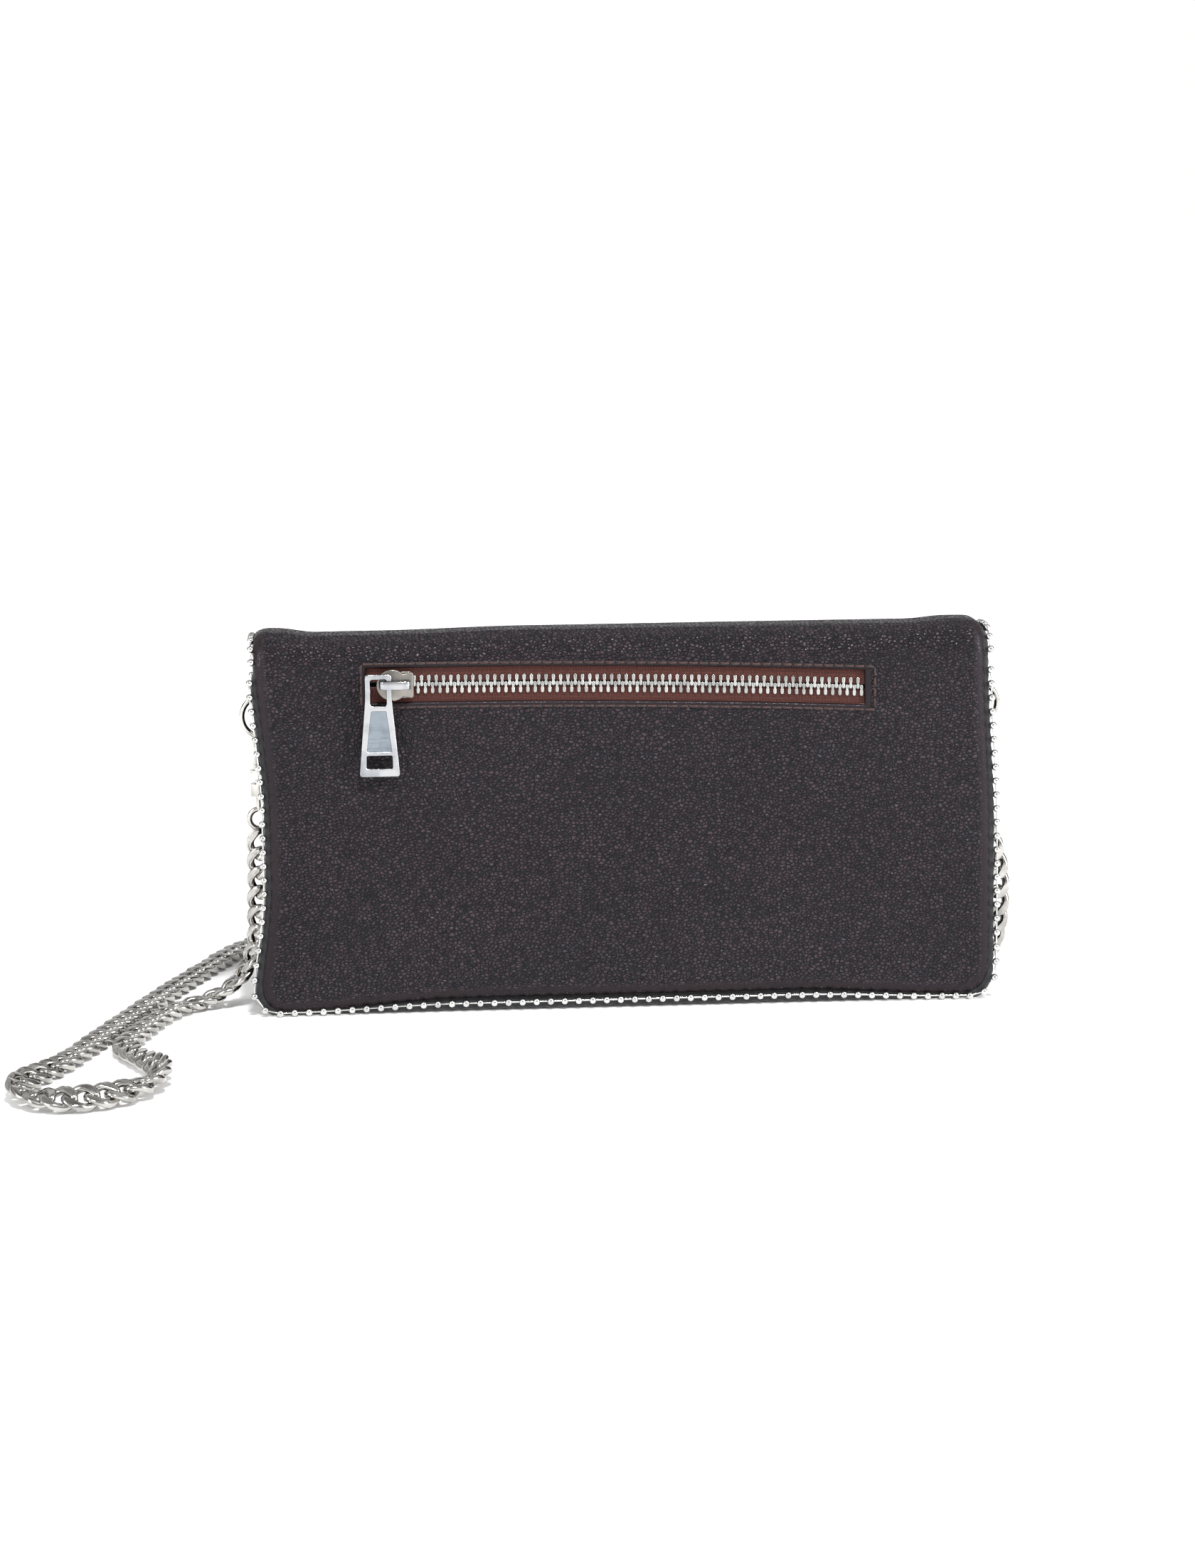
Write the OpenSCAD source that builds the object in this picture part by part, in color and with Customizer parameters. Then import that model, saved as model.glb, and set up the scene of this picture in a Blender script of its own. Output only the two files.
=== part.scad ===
// Fold-over chain wallet standing upright on its base strip.
// X runs along the width, the zipped back faces -Y, the flap covers +Y, and z = 0 is the floor.
// All sizes are in millimetres.

/* [Wallet] */
// Width of the leather from side to side
leather_w = 233; // [225:1:240]
// Height from the floor to the top of the fold
wallet_h = 122; // [118:1:126]
// Radius with which the leather rolls over the top edge
fold_r = 10; // [9.5:0.5:11]
// Height of the flap's lower edge above the floor
flap_bottom = 18; // [16:1:30]
// Height of the front panel's upper edge above the floor
front_top = 92; // [84:1:94]
// Radius of the leather's lower corners
corner_r = 9; // [8:1:11]

/* [Zip] */
// Height of the zip's centre line above the floor, in the middle of the back
zip_z = 104.5; // [104:0.5:104.5]
// Angle by which the zip runs down to the right
zip_tilt = 1.3; // [1:0.1:1.3]
// Left end of the zip window
window_x0 = -81.5; // [-82.5:0.1:-81]
// Right end of the zip window
window_x1 = 76.5; // [70:0.5:77]
// Height of the zip window
window_h = 11; // [11:0.5:11.5]
// Distance from one tooth to the next on the same tape
tooth_pitch = 2.3; // [2.2:0.1:2.5]
// Place of the slider's centre when the zip is shut
slider_x = -72.5; // [-73:0.5:-72]
// Length of the puller
puller_l = 32.4; // [28:0.4:34]

/* [Trim] */
// Radius of the black piping
piping_r = 1.9; // [1.7:0.1:1.9]
// Diameter of one bead
bead_d = 2.4; // [2.2:0.1:2.4]
// Distance from one bead to the next
bead_pitch = 4.5; // [4:0.1:5]

/* [Rings and clasps] */
// Distance of the clasps and the chain's ends from the middle
clasp_x = 116.4; // [116.3:0.1:116.5]
// Height of the ring's centre above the floor
ring_z = 95; // [94:0.5:95]
// Radius of the ring's curved side, to the middle of its wire
ring_r = 6.5; // [6.5:0.1:7]
// Thickness of the ring's wire
ring_wire = 1.8; // [1.6:0.1:1.8]

/* [Chain] */
// Thickness of a solid rod with the chain's own weight
chain_d = 4.2; // [4:0.1:4.4]

/* [Hidden] */
$fn = 48;

// Layers from the zipped back to the flap, each as [front face y, back face y]
back_leather = [-14, -12.6];
foam = [-12.6, -11];
pocket = [-11, -9.4];
board_back = [-9.4, -8.4];
lining_back = [-8.4, -7.8];
divider_y = [-1.8, -0.6];
lining_front = [5.6, 6.2];
board_front = [6.2, 7.2];
leather_front = [7.2, 8.6];
lining_flap = [11.2, 11.8];
board_flap = [11.8, 12.6];
leather_flap = [12.6, 14];

leather_t = 1.4;
half_w = leather_w / 2;
half_d = 14;
fold_flat = half_d - fold_r;
fold_z = wallet_h - fold_r;
inner_half_w = half_w - 3;
leather_z0 = 4.6;
stiffener_z0 = 4.2;
base_t = 1.2;
board_inset = 3;
card_w = 214;
pocket_wall = 0.5;
pocket_z0 = 22;
fit = 0.06;

// Zip
window_z = [zip_z - window_h / 2, zip_z + window_h / 2];
tape = [-12.55, -12];
tape_edge = 2.95;
tape_w = 6.9;
tape_x = [window_x0 - 3, window_x1 + 5];
teeth = [-13.4, -11.2];
tooth_h = 3.6;
tooth_w = 1.1;
tooth_end = window_x1 - 1.5;
first_tooth = slider_x - 2;
stitch_r = 0.25;
stitch_l = 2.5;
stitch_pitch = 3.3;
stitch_gap = 1.6;

// Slider: its plates lie before and behind the teeth, joined by the wedge that parts them
slider_r = 5;
slider_l = 11.7;
slider_mouth = 4.2;
slider_front = [-15, -13.7];
slider_rear = [-10.9, -10.1];
bridge_h = 2.6;
bridge_l = 10;
bridge_inner = 2.9;
bridge_outer = 3.7;
puller_y = -16.6;
puller_t = 1.2;
leg_w = 1.6;
leg_x = slider_x - 1.9;
puller_top_w = 8.3;
puller_low_w = 12.8;
puller_z1 = zip_z + 3.8;

// Trim: the piping lies behind the leather's edge and the beads outside the piping
piping_x = half_w - 0.3;
piping_y = 10.5;
piping_z0 = piping_r + 0.1;
piping_corner = 8;
bead_r = bead_d / 2;
bead_reach = piping_r + bead_r + 0.03;
side_lean = 38;
base_lean = 105;
flap_piping_z0 = flap_bottom + 1;

// Rings and clasps
ring_bar_x = 113.2;
ring_bend_x = 114.6;
rivet_x = 112.3;
rivet_r = 1.1;
hook_r = 5.6;
hook_wire = 1.1;
hook_z = 85.7;
gate_y = 5;
gate_r = 0.8;
gate_z0 = 83.1;
gate_l = 5.9;
cap_z = [76.6, 77.9];
stem_r = 1.6;
stem_top = 80.3;
barrel_z = [69.5, 73.5];
barrel_r = 2.6;
post_r = 1;
eye_z = 62;
eye_r = 3.2;
eye_wire = 0.9;

// Route of the chain, from the left clasp over the floor to the right clasp
chain_route = [
    [-116.4, 0, 57], [-116.6, 0.5, 47], [-117, 1, 36], [-118, 1, 25], [-121, 1, 15],
    [-127, 1, 7], [-135, 0, 3], [-142, -5, 2.2], [-147, -14, 2.2], [-151, -25, 2.2],
    [-157, -50, 2.2], [-154, -62, 2.6], [-148, -74, 3.4], [-144, -86, 4],
    [-146, -98, 4], [-153, -108, 4], [-164, -114, 4], [-175, -113, 4], [-183, -105, 4],
    [-184, -94, 3.4], [-180, -83, 2.8], [-175, -72, 2.4], [-170, -56, 2.2],
    [-159, -20, 2.2], [-147, 18, 2.2], [-134, 55, 2.2], [-126, 75, 2.2], [-113, 90, 2.2],
    [-94, 97, 2.2], [-70, 95, 2.2], [-6, 76, 2.2], [64, 57, 2.2], [103, 42, 2.2],
    [113, 31, 2.4], [118, 20, 4.6], [121, 10, 11], [122, 4, 21], [122, 1, 32],
    [121, 0, 43], [116.4, 0, 57]
];
chain_sides = 8;
rings_per_leg = 2;

// A flat shape drawn in X and Z, standing between two Y values
module upright(y) {
    translate([0, y[1], 0]) rotate([90, 0, 0]) linear_extrude(y[1] - y[0]) children();
}

// A flat shape drawn in Y and Z, running between two X values
module along_x(x0, x1) {
    translate([x0, 0, 0]) rotate([90, 0, 90]) linear_extrude(x1 - x0) children();
}

// A panel's outline with round lower corners
module panel_outline(half, z0, z1, r) {
    translate([-half, z0 + r]) square([2 * half, z1 - z0 - r]);
    translate([-half + r, z0]) square([2 * (half - r), r]);
    for (side = [-1, 1]) translate([side * (half - r), z0 + r]) circle(r);
}

// A flat rectangle on the back, tilted with the zip
module zip_rectangle(x, z) {
    translate([0, zip_z]) rotate(-zip_tilt) translate([x[0], z[0] - zip_z])
        square([x[1] - x[0], z[1] - z[0]]);
}

module window() {
    zip_rectangle([window_x0, window_x1], window_z);
}

// A solid that belongs to the zip, tilted with it
module on_zip() {
    translate([0, 0, zip_z]) rotate([0, zip_tilt, 0]) translate([0, 0, -zip_z]) children();
}

// Cross-section of the fold, inset from the outside of the leather
module arch(inset) {
    intersection() {
        union() {
            for (side = [-1, 1]) translate([side * fold_flat, fold_z]) circle(fold_r - inset);
            translate([-fold_flat, fold_z - fold_r]) square([2 * fold_flat, 2 * fold_r - inset]);
        }
        translate([-half_d, fold_z]) square([2 * half_d, fold_r]);
    }
}

module arch_layer(outer, inner, half) {
    along_x(-half, half) difference() {
        arch(outer);
        arch(inner);
        translate([-fold_flat, fold_z - 1]) square([2 * fold_flat, fold_r - inner + 1]);
    }
}

// Back: leather, foam, boards, linings and the zip pocket
module back_panel() {
    color("#362c2b") upright(back_leather) difference() {
        panel_outline(half_w, leather_z0, fold_z, corner_r);
        window();
    }
}

module back_foam() {
    color("#8c8a86") upright(foam) difference() {
        panel_outline(inner_half_w, stiffener_z0, fold_z, corner_r);
        zip_rectangle(tape_x + [-0.1, 0.1], [zip_z - tape_w - 0.1, zip_z + tape_w + 0.1]);
    }
}

module pocket_lining() {
    inner = [pocket[0] + pocket_wall, pocket[1] - pocket_wall];
    pocket_half = 100;
    color("#1f1b1d") difference() {
        upright(pocket) panel_outline(pocket_half, pocket_z0, fold_z, 4);
        upright(inner) panel_outline(pocket_half - 3, pocket_z0 + 3, fold_z - 1, 4);
        upright([pocket[0] - 1, inner[1]]) window();
    }
}

module back_board() {
    color("#8f7f68") upright(board_back)
        panel_outline(inner_half_w, stiffener_z0, fold_z, corner_r);
}

module back_lining() {
    color("#1f1b1d") upright(lining_back) panel_outline(inner_half_w, base_t, fold_z, 4);
}

// Zip: side is 1 for the upper half and -1 for the lower half. The tape ends below the fold.
module zip_tape(side) {
    color("#653326") intersection() {
        on_zip() upright(tape) translate([tape_x[0], zip_z])
            mirror([0, side < 0 ? 1 : 0])
                translate([0, tape_edge]) square([tape_x[1] - tape_x[0], tape_w - tape_edge]);
        translate([-half_w, -half_d, 0]) cube([leather_w, half_d, fold_z - 0.1]);
    }
}

module tooth(x, side, parting) {
    top = tape_edge - 0.05 + parting;
    upright(teeth) translate([x - tooth_w / 2, zip_z])
        mirror([0, side < 0 ? 1 : 0]) translate([0, top - tooth_h]) square([tooth_w, tooth_h]);
}

module zip_teeth(side) {
    shift = side < 0 ? 0 : tooth_pitch / 2;
    color("#d9d9d7") on_zip() {
        for (x = [first_tooth + shift : tooth_pitch : tooth_end]) tooth(x, side, 0);
    }
}

module zip_top_stops() {
    stop_w = 1.2;
    color("#c9c9c7") on_zip() for (side = [-1, 1])
        upright(teeth) translate([slider_x - 7.6 - stop_w, zip_z + side * 1.9 - 1])
            square([stop_w, 2]);
}

module zip_bottom_stop() {
    color("#c9c9c7") on_zip() upright([tape[0], teeth[1]])
        translate([window_x1 + 0.8, zip_z - tape_edge + 0.1])
            square([3, 2 * tape_edge - 0.2]);
}

// One straight row of stitches lying on the leather, count long, along X or Z
module stitch_row(x, z, count, along) {
    for (i = [0 : count - 1])
        translate([x, back_leather[0] - stitch_r - 0.01, z])
            rotate(along == "x" ? [0, 90, 0] : [0, 0, 0])
                translate([0, 0, i * stitch_pitch]) cylinder(r = stitch_r, h = stitch_l);
}

module zip_stitching() {
    x0 = window_x0 - stitch_gap;
    x1 = window_x1 + stitch_gap + 1;
    rows = floor((x1 - x0) / stitch_pitch);
    color("#2a1a18") on_zip() {
        for (z = [window_z[0] - stitch_gap, window_z[1] + stitch_gap - 0.4])
            stitch_row(x0 + 1, z, rows, "x");
        for (x = [x0, x1]) stitch_row(x, window_z[0] - 0.6, 4, "z");
    }
}

// Top fold
module top_fold() {
    color("#362c2b") arch_layer(0, leather_t, half_w);
}

module fold_lining() {
    color("#1f1b1d") arch_layer(leather_t, leather_t + 0.6, inner_half_w);
}

// Inside
module divider() {
    color("#1f1b1d") upright(divider_y) panel_outline(card_w / 2, base_t, 90, 3);
}

// Three stepped card pockets on the divider
module card_slots() {
    step_t = 0.5;
    color("#2b2422") for (i = [0 : 2])
        upright([divider_y[1] + i * step_t, divider_y[1] + (i + 1) * step_t])
            panel_outline(card_w / 2 - 6, base_t + 0.1, 64 - 12 * i, 3);
}

// A gusset is a strip folded inward like a V, closed between back and front lining
module gusset(side) {
    gusset_t = 0.8;
    fold_in = 5;
    y0 = lining_back[1];
    y1 = lining_front[0];
    mid = (y0 + y1) / 2;
    color("#352b29") mirror([side < 0 ? 1 : 0, 0, 0]) translate([0, 0, base_t])
        linear_extrude(front_top - base_t) polygon([
            [inner_half_w - gusset_t, y0], [inner_half_w, y0], [inner_half_w - fold_in, mid],
            [inner_half_w, y1], [inner_half_w - gusset_t, y1],
            [inner_half_w - fold_in - gusset_t, mid]
        ]);
}

module base_strip() {
    color("#352b29") translate([-inner_half_w, lining_back[0], 0])
        cube([2 * inner_half_w, leather_front[1] - lining_back[0], base_t]);
}

// Front
module front_lining() {
    color("#1f1b1d") upright(lining_front) panel_outline(inner_half_w, base_t, front_top, 3);
}

module front_board() {
    color("#8f7f68") upright(board_front) difference() {
        panel_outline(inner_half_w - board_inset, base_t + 1, front_top - 2, 3);
        translate([0, 40]) circle(7.1);
    }
}

module front_panel() {
    color("#362c2b") upright(leather_front) panel_outline(inner_half_w, base_t, front_top, 3);
}

module magnet_socket() {
    color("#b9b9b7") upright(board_front) translate([0, 40]) circle(7);
}

// Flap, hanging over the front from the fold
module flap_panel() {
    color("#362c2b") upright(leather_flap)
        panel_outline(half_w, flap_bottom, fold_z, corner_r);
}

module flap_board() {
    color("#8f7f68") upright(board_flap) difference() {
        panel_outline(inner_half_w - 1, flap_bottom + 4, fold_z - 2, corner_r);
        translate([0, 40]) circle(7.1);
    }
}

module flap_lining() {
    color("#1f1b1d") upright(lining_flap)
        panel_outline(inner_half_w - 0.5, flap_bottom + 4, fold_z - 1, corner_r);
}

module magnet_stud() {
    color("#b9b9b7") upright(board_flap) translate([0, 40]) circle(7);
}

// Piping down one side, round the corner, along the bottom and up the other side
module piping_u(y, z0, z1) {
    r = piping_corner;
    for (side = [-1, 1]) {
        translate([side * piping_x, y, z0 + r]) cylinder(r = piping_r, h = z1 - z0 - r);
        translate([side * (piping_x - r), y, z0 + r])
            rotate([90, 0, 0]) rotate([0, 0, side < 0 ? 180 : 270])
                rotate_extrude(angle = 90) translate([r, 0]) circle(piping_r);
    }
    translate([-piping_x + r, y, z0]) rotate([0, 90, 0])
        cylinder(r = piping_r, h = 2 * (piping_x - r));
}

// A point and its outward direction at the distance s along the piping, from the left top
function u_length(z0, z1) =
    2 * (z1 - z0 - piping_corner) + PI * piping_corner + 2 * (piping_x - piping_corner);

function u_place(s, z0, z1) =
    let (
        r = piping_corner,
        side_l = z1 - z0 - r,
        turn_l = PI * r / 2,
        base_l = 2 * (piping_x - r),
        half = u_length(z0, z1) / 2,
        t = s <= half ? s : 2 * half - s,
        sign = s <= half ? -1 : 1,
        turn = max(0, min(90, (t - side_l) / turn_l * 90))
    )
    t < side_l ? [sign * piping_x, z1 - t, turn, sign]
    : t < side_l + turn_l
    ? [sign * (piping_x - r + r * cos(turn)), z0 + r - r * sin(turn), turn, sign]
    : [sign * (piping_x - r - (t - side_l - turn_l)), z0, turn, sign];

// Beads outside that piping: they lean towards face (-1 back, 1 flap) more along the bottom
module beads_u(y, z0, z1, face, low_lean) {
    total = u_length(z0, z1);
    count = floor((total - bead_pitch) / bead_pitch);
    start = (total - (count - 1) * bead_pitch) / 2;
    for (i = [0 : count - 1]) {
        p = u_place(start + i * bead_pitch, z0, z1);
        lean = side_lean + (low_lean - side_lean) * p[2] / 90;
        out = bead_reach * cos(lean);
        translate([
            p[0] + p[3] * out * cos(p[2]),
            y + face * bead_reach * sin(lean),
            p[1] - out * sin(p[2])
        ]) sphere(bead_r);
    }
}

module piping_back() {
    color("#101114") piping_u(-piping_y, piping_z0, fold_z);
}

module beads_back() {
    color("#d9d9d7") beads_u(-piping_y, piping_z0, fold_z, -1, base_lean);
}

module piping_flap() {
    color("#101114") piping_u(piping_y, flap_piping_z0, fold_z);
}

module beads_flap() {
    color("#d9d9d7") beads_u(piping_y, flap_piping_z0, fold_z, 1, side_lean);
}

// Piping over the fold on both sides
module piping_fold() {
    bend = piping_y - fold_flat;
    color("#101114") for (side = [-1, 1]) {
        for (face = [-1, 1])
            translate([side * piping_x, face * fold_flat, fold_z]) rotate([90, 0, 90])
                rotate_extrude(angle = 90 * face) translate([face * bend, 0]) circle(piping_r);
        translate([side * piping_x, -fold_flat, fold_z + bend]) rotate([-90, 0, 0])
            cylinder(r = piping_r, h = 2 * fold_flat);
    }
}

// Beads over the fold: angle runs from the back, over the top, to the flap
module beads_fold() {
    reach = piping_y - fold_flat + bead_reach * sin(side_lean);
    out = piping_x + bead_reach * cos(side_lean);
    color("#d9d9d7") for (side = [-1, 1]) {
        for (face = [-1, 1], angle = [14 : 30 : 74])
            translate([
                side * out,
                face * (fold_flat + reach * cos(angle)),
                fold_z + reach * sin(angle)
            ]) sphere(bead_r);
        for (y = [-2.2, 2.2]) translate([side * out, y, fold_z + reach]) sphere(bead_r);
    }
}

// Leather tab: a sleeve round the ring's straight bar and a strap to the gusset
module ring_tab(side) {
    sleeve_r = 1.6;
    sleeve_h = 8.4;
    strap_x0 = 111;
    strap_t = 2;
    color("#352b29") mirror([side < 0 ? 1 : 0, 0, 0]) difference() {
        union() {
            translate([ring_bar_x, 0, ring_z - sleeve_h / 2]) cylinder(r = sleeve_r, h = sleeve_h);
            translate([strap_x0, -strap_t / 2, ring_z - sleeve_h / 2])
                cube([ring_bar_x - strap_x0, strap_t, sleeve_h]);
        }
        translate([ring_bar_x, 0, ring_z - sleeve_h])
            cylinder(r = ring_wire / 2 + fit, h = 2 * sleeve_h);
        translate([rivet_x, -1, ring_z]) rotate([90, 0, 0]) cylinder(r = rivet_r + fit, h = 1);
    }
}

// Dome rivets through the tabs, one on each side
module tab_rivets() {
    color("#c9c9c7") for (side = [-1, 1]) translate([side * rivet_x, -1.02, ring_z])
        rotate([90, 0, 0]) cylinder(r = rivet_r, h = 0.6);
}

// Chain: a tube swept along a smooth curve through the route's points
function curve_point(p0, p1, p2, p3, t) =
    0.5 * (2 * p1 + (p2 - p0) * t + (2 * p0 - 5 * p1 + 4 * p2 - p3) * t * t
        + (3 * p1 - p0 - 3 * p2 + p3) * t * t * t);

function curve_points(route, steps) =
    let (last = len(route) - 1)
    concat([
        for (i = [0 : last - 1], k = [0 : steps - 1])
            curve_point(
                route[max(i - 1, 0)], route[i], route[i + 1], route[min(i + 2, last)],
                k / steps
            )
    ], [route[last]]);

function unit(v) = v / norm(v);

function ring_points(centre, along, radius, sides) =
    let (
        across = abs(unit(along).z) > 0.8 ? [0, 1, 0] : [0, 0, 1],
        u = unit(cross(across, along)),
        v = unit(cross(along, u))
    )
    [for (i = [0 : sides - 1])
        centre + radius * (u * cos(i * 360 / sides) + v * sin(i * 360 / sides))];

// Each ring is turned to meet the one before it, so that the tube doesn't twist
function turned(ring, before) =
    let (
        sides = len(ring),
        gaps = [for (k = [0 : sides - 1]) norm(ring[k] - before[0])],
        first = search(min(gaps), gaps)[0]
    )
    [for (i = [0 : sides - 1]) ring[(i + first) % sides]];

module tube(path, radius, sides) {
    last = len(path) - 1;
    rings = [for (i = [0 : last])
        ring_points(path[i], path[min(i + 1, last)] - path[max(i - 1, 0)], radius, sides)];
    aligned = [for (i = 0, r = rings[0]; i <= last;
        i = i + 1, r = i <= last ? turned(rings[i], r) : r) r];
    points = [for (r = aligned, p = r) p];
    walls = [for (i = [0 : last - 1], k = [0 : sides - 1])
        let (
            a = i * sides + k,
            b = i * sides + (k + 1) % sides
        )
        [a, b, b + sides, a + sides]];
    start = [for (k = [sides - 1 : -1 : 0]) k];
    end = [for (k = [0 : sides - 1]) last * sides + k];
    polyhedron(points, concat([start], walls, [end]), convexity = 10);
}

module chain() {
    color("#cfc9c4") tube(curve_points(chain_route, rings_per_leg), chain_d / 2, chain_sides);
}

// Slider
module slider_outline(shrink) {
    shoulder_x = slider_x - slider_l / 2 + slider_r;
    translate([shoulder_x, zip_z]) circle(slider_r - shrink);
    translate([shoulder_x, zip_z - slider_mouth + shrink])
        square([slider_l - slider_r - shrink, 2 * (slider_mouth - shrink)]);
}

module slider_body() {
    flange_w = 1;
    wedge_l = 1.8;
    wedge_half = 0.8;
    tape_gap = 0.3;
    color("#b5b0a8") on_zip() {
        upright(slider_front) slider_outline(0);
        upright(slider_rear) slider_outline(0.3);
        upright([slider_front[1] - 0.01, slider_rear[0] + 0.01])
            translate([slider_x - slider_l / 2 + 0.6, zip_z - wedge_half])
                square([wedge_l, 2 * wedge_half]);
        for (side = [-1, 1])
            upright([slider_front[1] - 0.01, tape[0] - tape_gap])
                translate([slider_x, zip_z + side * (slider_mouth - flange_w / 2) - flange_w / 2])
                    square([slider_l / 2 - 0.2, flange_w]);
    }
}

// Bridge: an arch over the slider that holds the puller
module slider_bridge() {
    post_w = 0.9;
    low = zip_z - bridge_h / 2 + 0.4;
    color("#c9c9c7") on_zip() difference() {
        upright([slider_front[0] - bridge_outer, slider_front[0]])
            translate([slider_x - bridge_l / 2, low]) square([bridge_l, bridge_h]);
        upright([slider_front[0] - bridge_inner, slider_front[0] + 1])
            translate([slider_x - bridge_l / 2 + post_w, low - 1])
                square([bridge_l - 2 * post_w, bridge_h + 2]);
    }
}

// Puller: hangs with one side of its upper loop under the bridge
module puller() {
    x1 = leg_x + leg_w / 2;
    mid = x1 - puller_top_w / 2;
    z0 = puller_z1 - puller_l;
    hole_h = 8.4;
    hole_z = puller_z1 - leg_w - hole_h;
    window_w = 8.2;
    slot_h = 4.1;
    slot_z = z0 + 2.6;
    plate_z1 = hole_z - leg_w;
    recess_z0 = slot_z + slot_h + 1.2;
    recess_w0 = 7.6;
    recess_w1 = 4.6;
    recess_t = 0.3;
    face_y = puller_y - puller_t / 2;
    color("#d4d4d2") on_zip() difference() {
        upright([face_y, face_y + puller_t]) difference() {
            polygon([
                [mid - puller_low_w / 2, z0 + 0.8], [mid - puller_low_w / 2 + 0.8, z0],
                [mid + puller_low_w / 2 - 0.8, z0], [mid + puller_low_w / 2, z0 + 0.8],
                [mid + puller_top_w / 2, plate_z1 + 4], [mid + puller_top_w / 2, puller_z1 - 0.5],
                [mid + puller_top_w / 2 - 0.5, puller_z1],
                [mid - puller_top_w / 2 + 0.5, puller_z1],
                [mid - puller_top_w / 2, puller_z1 - 0.5], [mid - puller_top_w / 2, plate_z1 + 4]
            ]);
            translate([mid - puller_top_w / 2 + leg_w, hole_z])
                square([puller_top_w - 2 * leg_w, hole_h]);
            translate([mid - window_w / 2, slot_z]) square([window_w, slot_h]);
        }
        upright([face_y - 1, face_y + recess_t]) polygon([
            [mid - recess_w0 / 2, recess_z0], [mid + recess_w0 / 2, recess_z0],
            [mid + recess_w1 / 2, plate_z1], [mid - recess_w1 / 2, plate_z1]
        ]);
    }
}

// Ring: a straight bar in the tab and a half round outside it
module ring(side) {
    wire_r = ring_wire / 2;
    color("#cfcfcd") mirror([side < 0 ? 1 : 0, 0, 0]) {
        translate([ring_bar_x, 0, ring_z - ring_r]) cylinder(r = wire_r, h = 2 * ring_r);
        for (z = [ring_z - ring_r, ring_z + ring_r]) {
            translate([ring_bar_x, 0, z]) sphere(wire_r);
            translate([ring_bar_x, 0, z]) rotate([0, 90, 0])
                cylinder(r = wire_r, h = ring_bend_x - ring_bar_x);
        }
        translate([ring_bend_x, 0, ring_z]) rotate([90, 0, 0]) rotate([0, 0, -90])
            rotate_extrude(angle = 180) translate([ring_r, 0]) circle(wire_r);
    }
}

// Clasp hook: an open claw over the ring, a cage and a barrel for the swivel's post
module hook(side) {
    mouth = 46;
    cage_y = 2;
    cage_r = 0.5;
    bore_r = post_r + fit;
    color("#cfcfcd") translate([side * clasp_x, 0, 0]) {
        translate([0, 0, hook_z]) rotate([90, 0, 90]) rotate([0, 0, mouth])
            rotate_extrude(angle = 360 - 2 * mouth + 7) translate([hook_r, 0]) circle(hook_wire);
        translate([0, 0, cap_z[0]]) cylinder(r = barrel_r, h = cap_z[1] - cap_z[0]);
        translate([0, 0, cap_z[0] + 0.2]) cylinder(r = stem_r, h = stem_top - cap_z[0] - 0.2);
        for (y = [-cage_y, cage_y])
            translate([0, y, barrel_z[1] - 0.5]) cylinder(r = cage_r, h = cap_z[0] - barrel_z[1] + 1);
        difference() {
            translate([0, 0, barrel_z[0]]) cylinder(r = barrel_r, h = barrel_z[1] - barrel_z[0]);
            translate([0, 0, barrel_z[0] - 1]) cylinder(r = bore_r, h = 6);
        }
    }
}

// Gate: closes the claw's mouth and turns on its round lower end
module gate(side) {
    knuckle_l = 2;
    color("#bfbfbd") translate([side * clasp_x, gate_y, gate_z0]) {
        cylinder(r = gate_r, h = gate_l);
        translate([-knuckle_l / 2, 0, 0]) rotate([0, 90, 0]) cylinder(r = 1, h = knuckle_l);
    }
}

// Swivel: a headed post that turns in the barrel, with an eye for the chain's last link
module swivel(side) {
    head_r = 1.3;
    head_h = 1;
    head_z = barrel_z[1] + fit;
    color("#cfcfcd") translate([side * clasp_x, 0, 0]) {
        translate([0, 0, head_z]) cylinder(r = head_r, h = head_h);
        translate([0, 0, eye_z + eye_r]) cylinder(r = post_r, h = head_z - eye_z - eye_r + 0.1);
        translate([0, 0, eye_z]) rotate([90, 0, 0]) rotate_extrude()
            translate([eye_r, 0]) circle(eye_wire);
    }
}

back_panel();
back_foam();
pocket_lining();
back_board();
back_lining();
zip_tape(1);  // zip_tape_upper
zip_tape(-1);  // zip_tape_lower
zip_teeth(1);  // zip_teeth_upper
zip_teeth(-1);  // zip_teeth_lower
zip_top_stops();
zip_bottom_stop();
zip_stitching();
top_fold();
fold_lining();
divider();
card_slots();
gusset(-1);  // gusset_left
gusset(1);  // gusset_right
base_strip();
front_lining();
front_board();
front_panel();
magnet_socket();
piping_back();
beads_back();
piping_fold();
beads_fold();
ring_tab(-1);  // ring_tab_left
ring_tab(1);  // ring_tab_right
tab_rivets();
chain();
flap_panel();
flap_board();
flap_lining();
magnet_stud();
piping_flap();
beads_flap();
slider_body();
slider_bridge();
puller();
ring(-1);  // ring_left
ring(1);  // ring_right
hook(-1);  // hook_left
hook(1);  // hook_right
gate(-1);  // gate_left
gate(1);  // gate_right
swivel(-1);  // swivel_left
swivel(1);  // swivel_right
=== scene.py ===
import bisect
import math

import bpy
from mathutils import Matrix, Vector, noise


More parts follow.
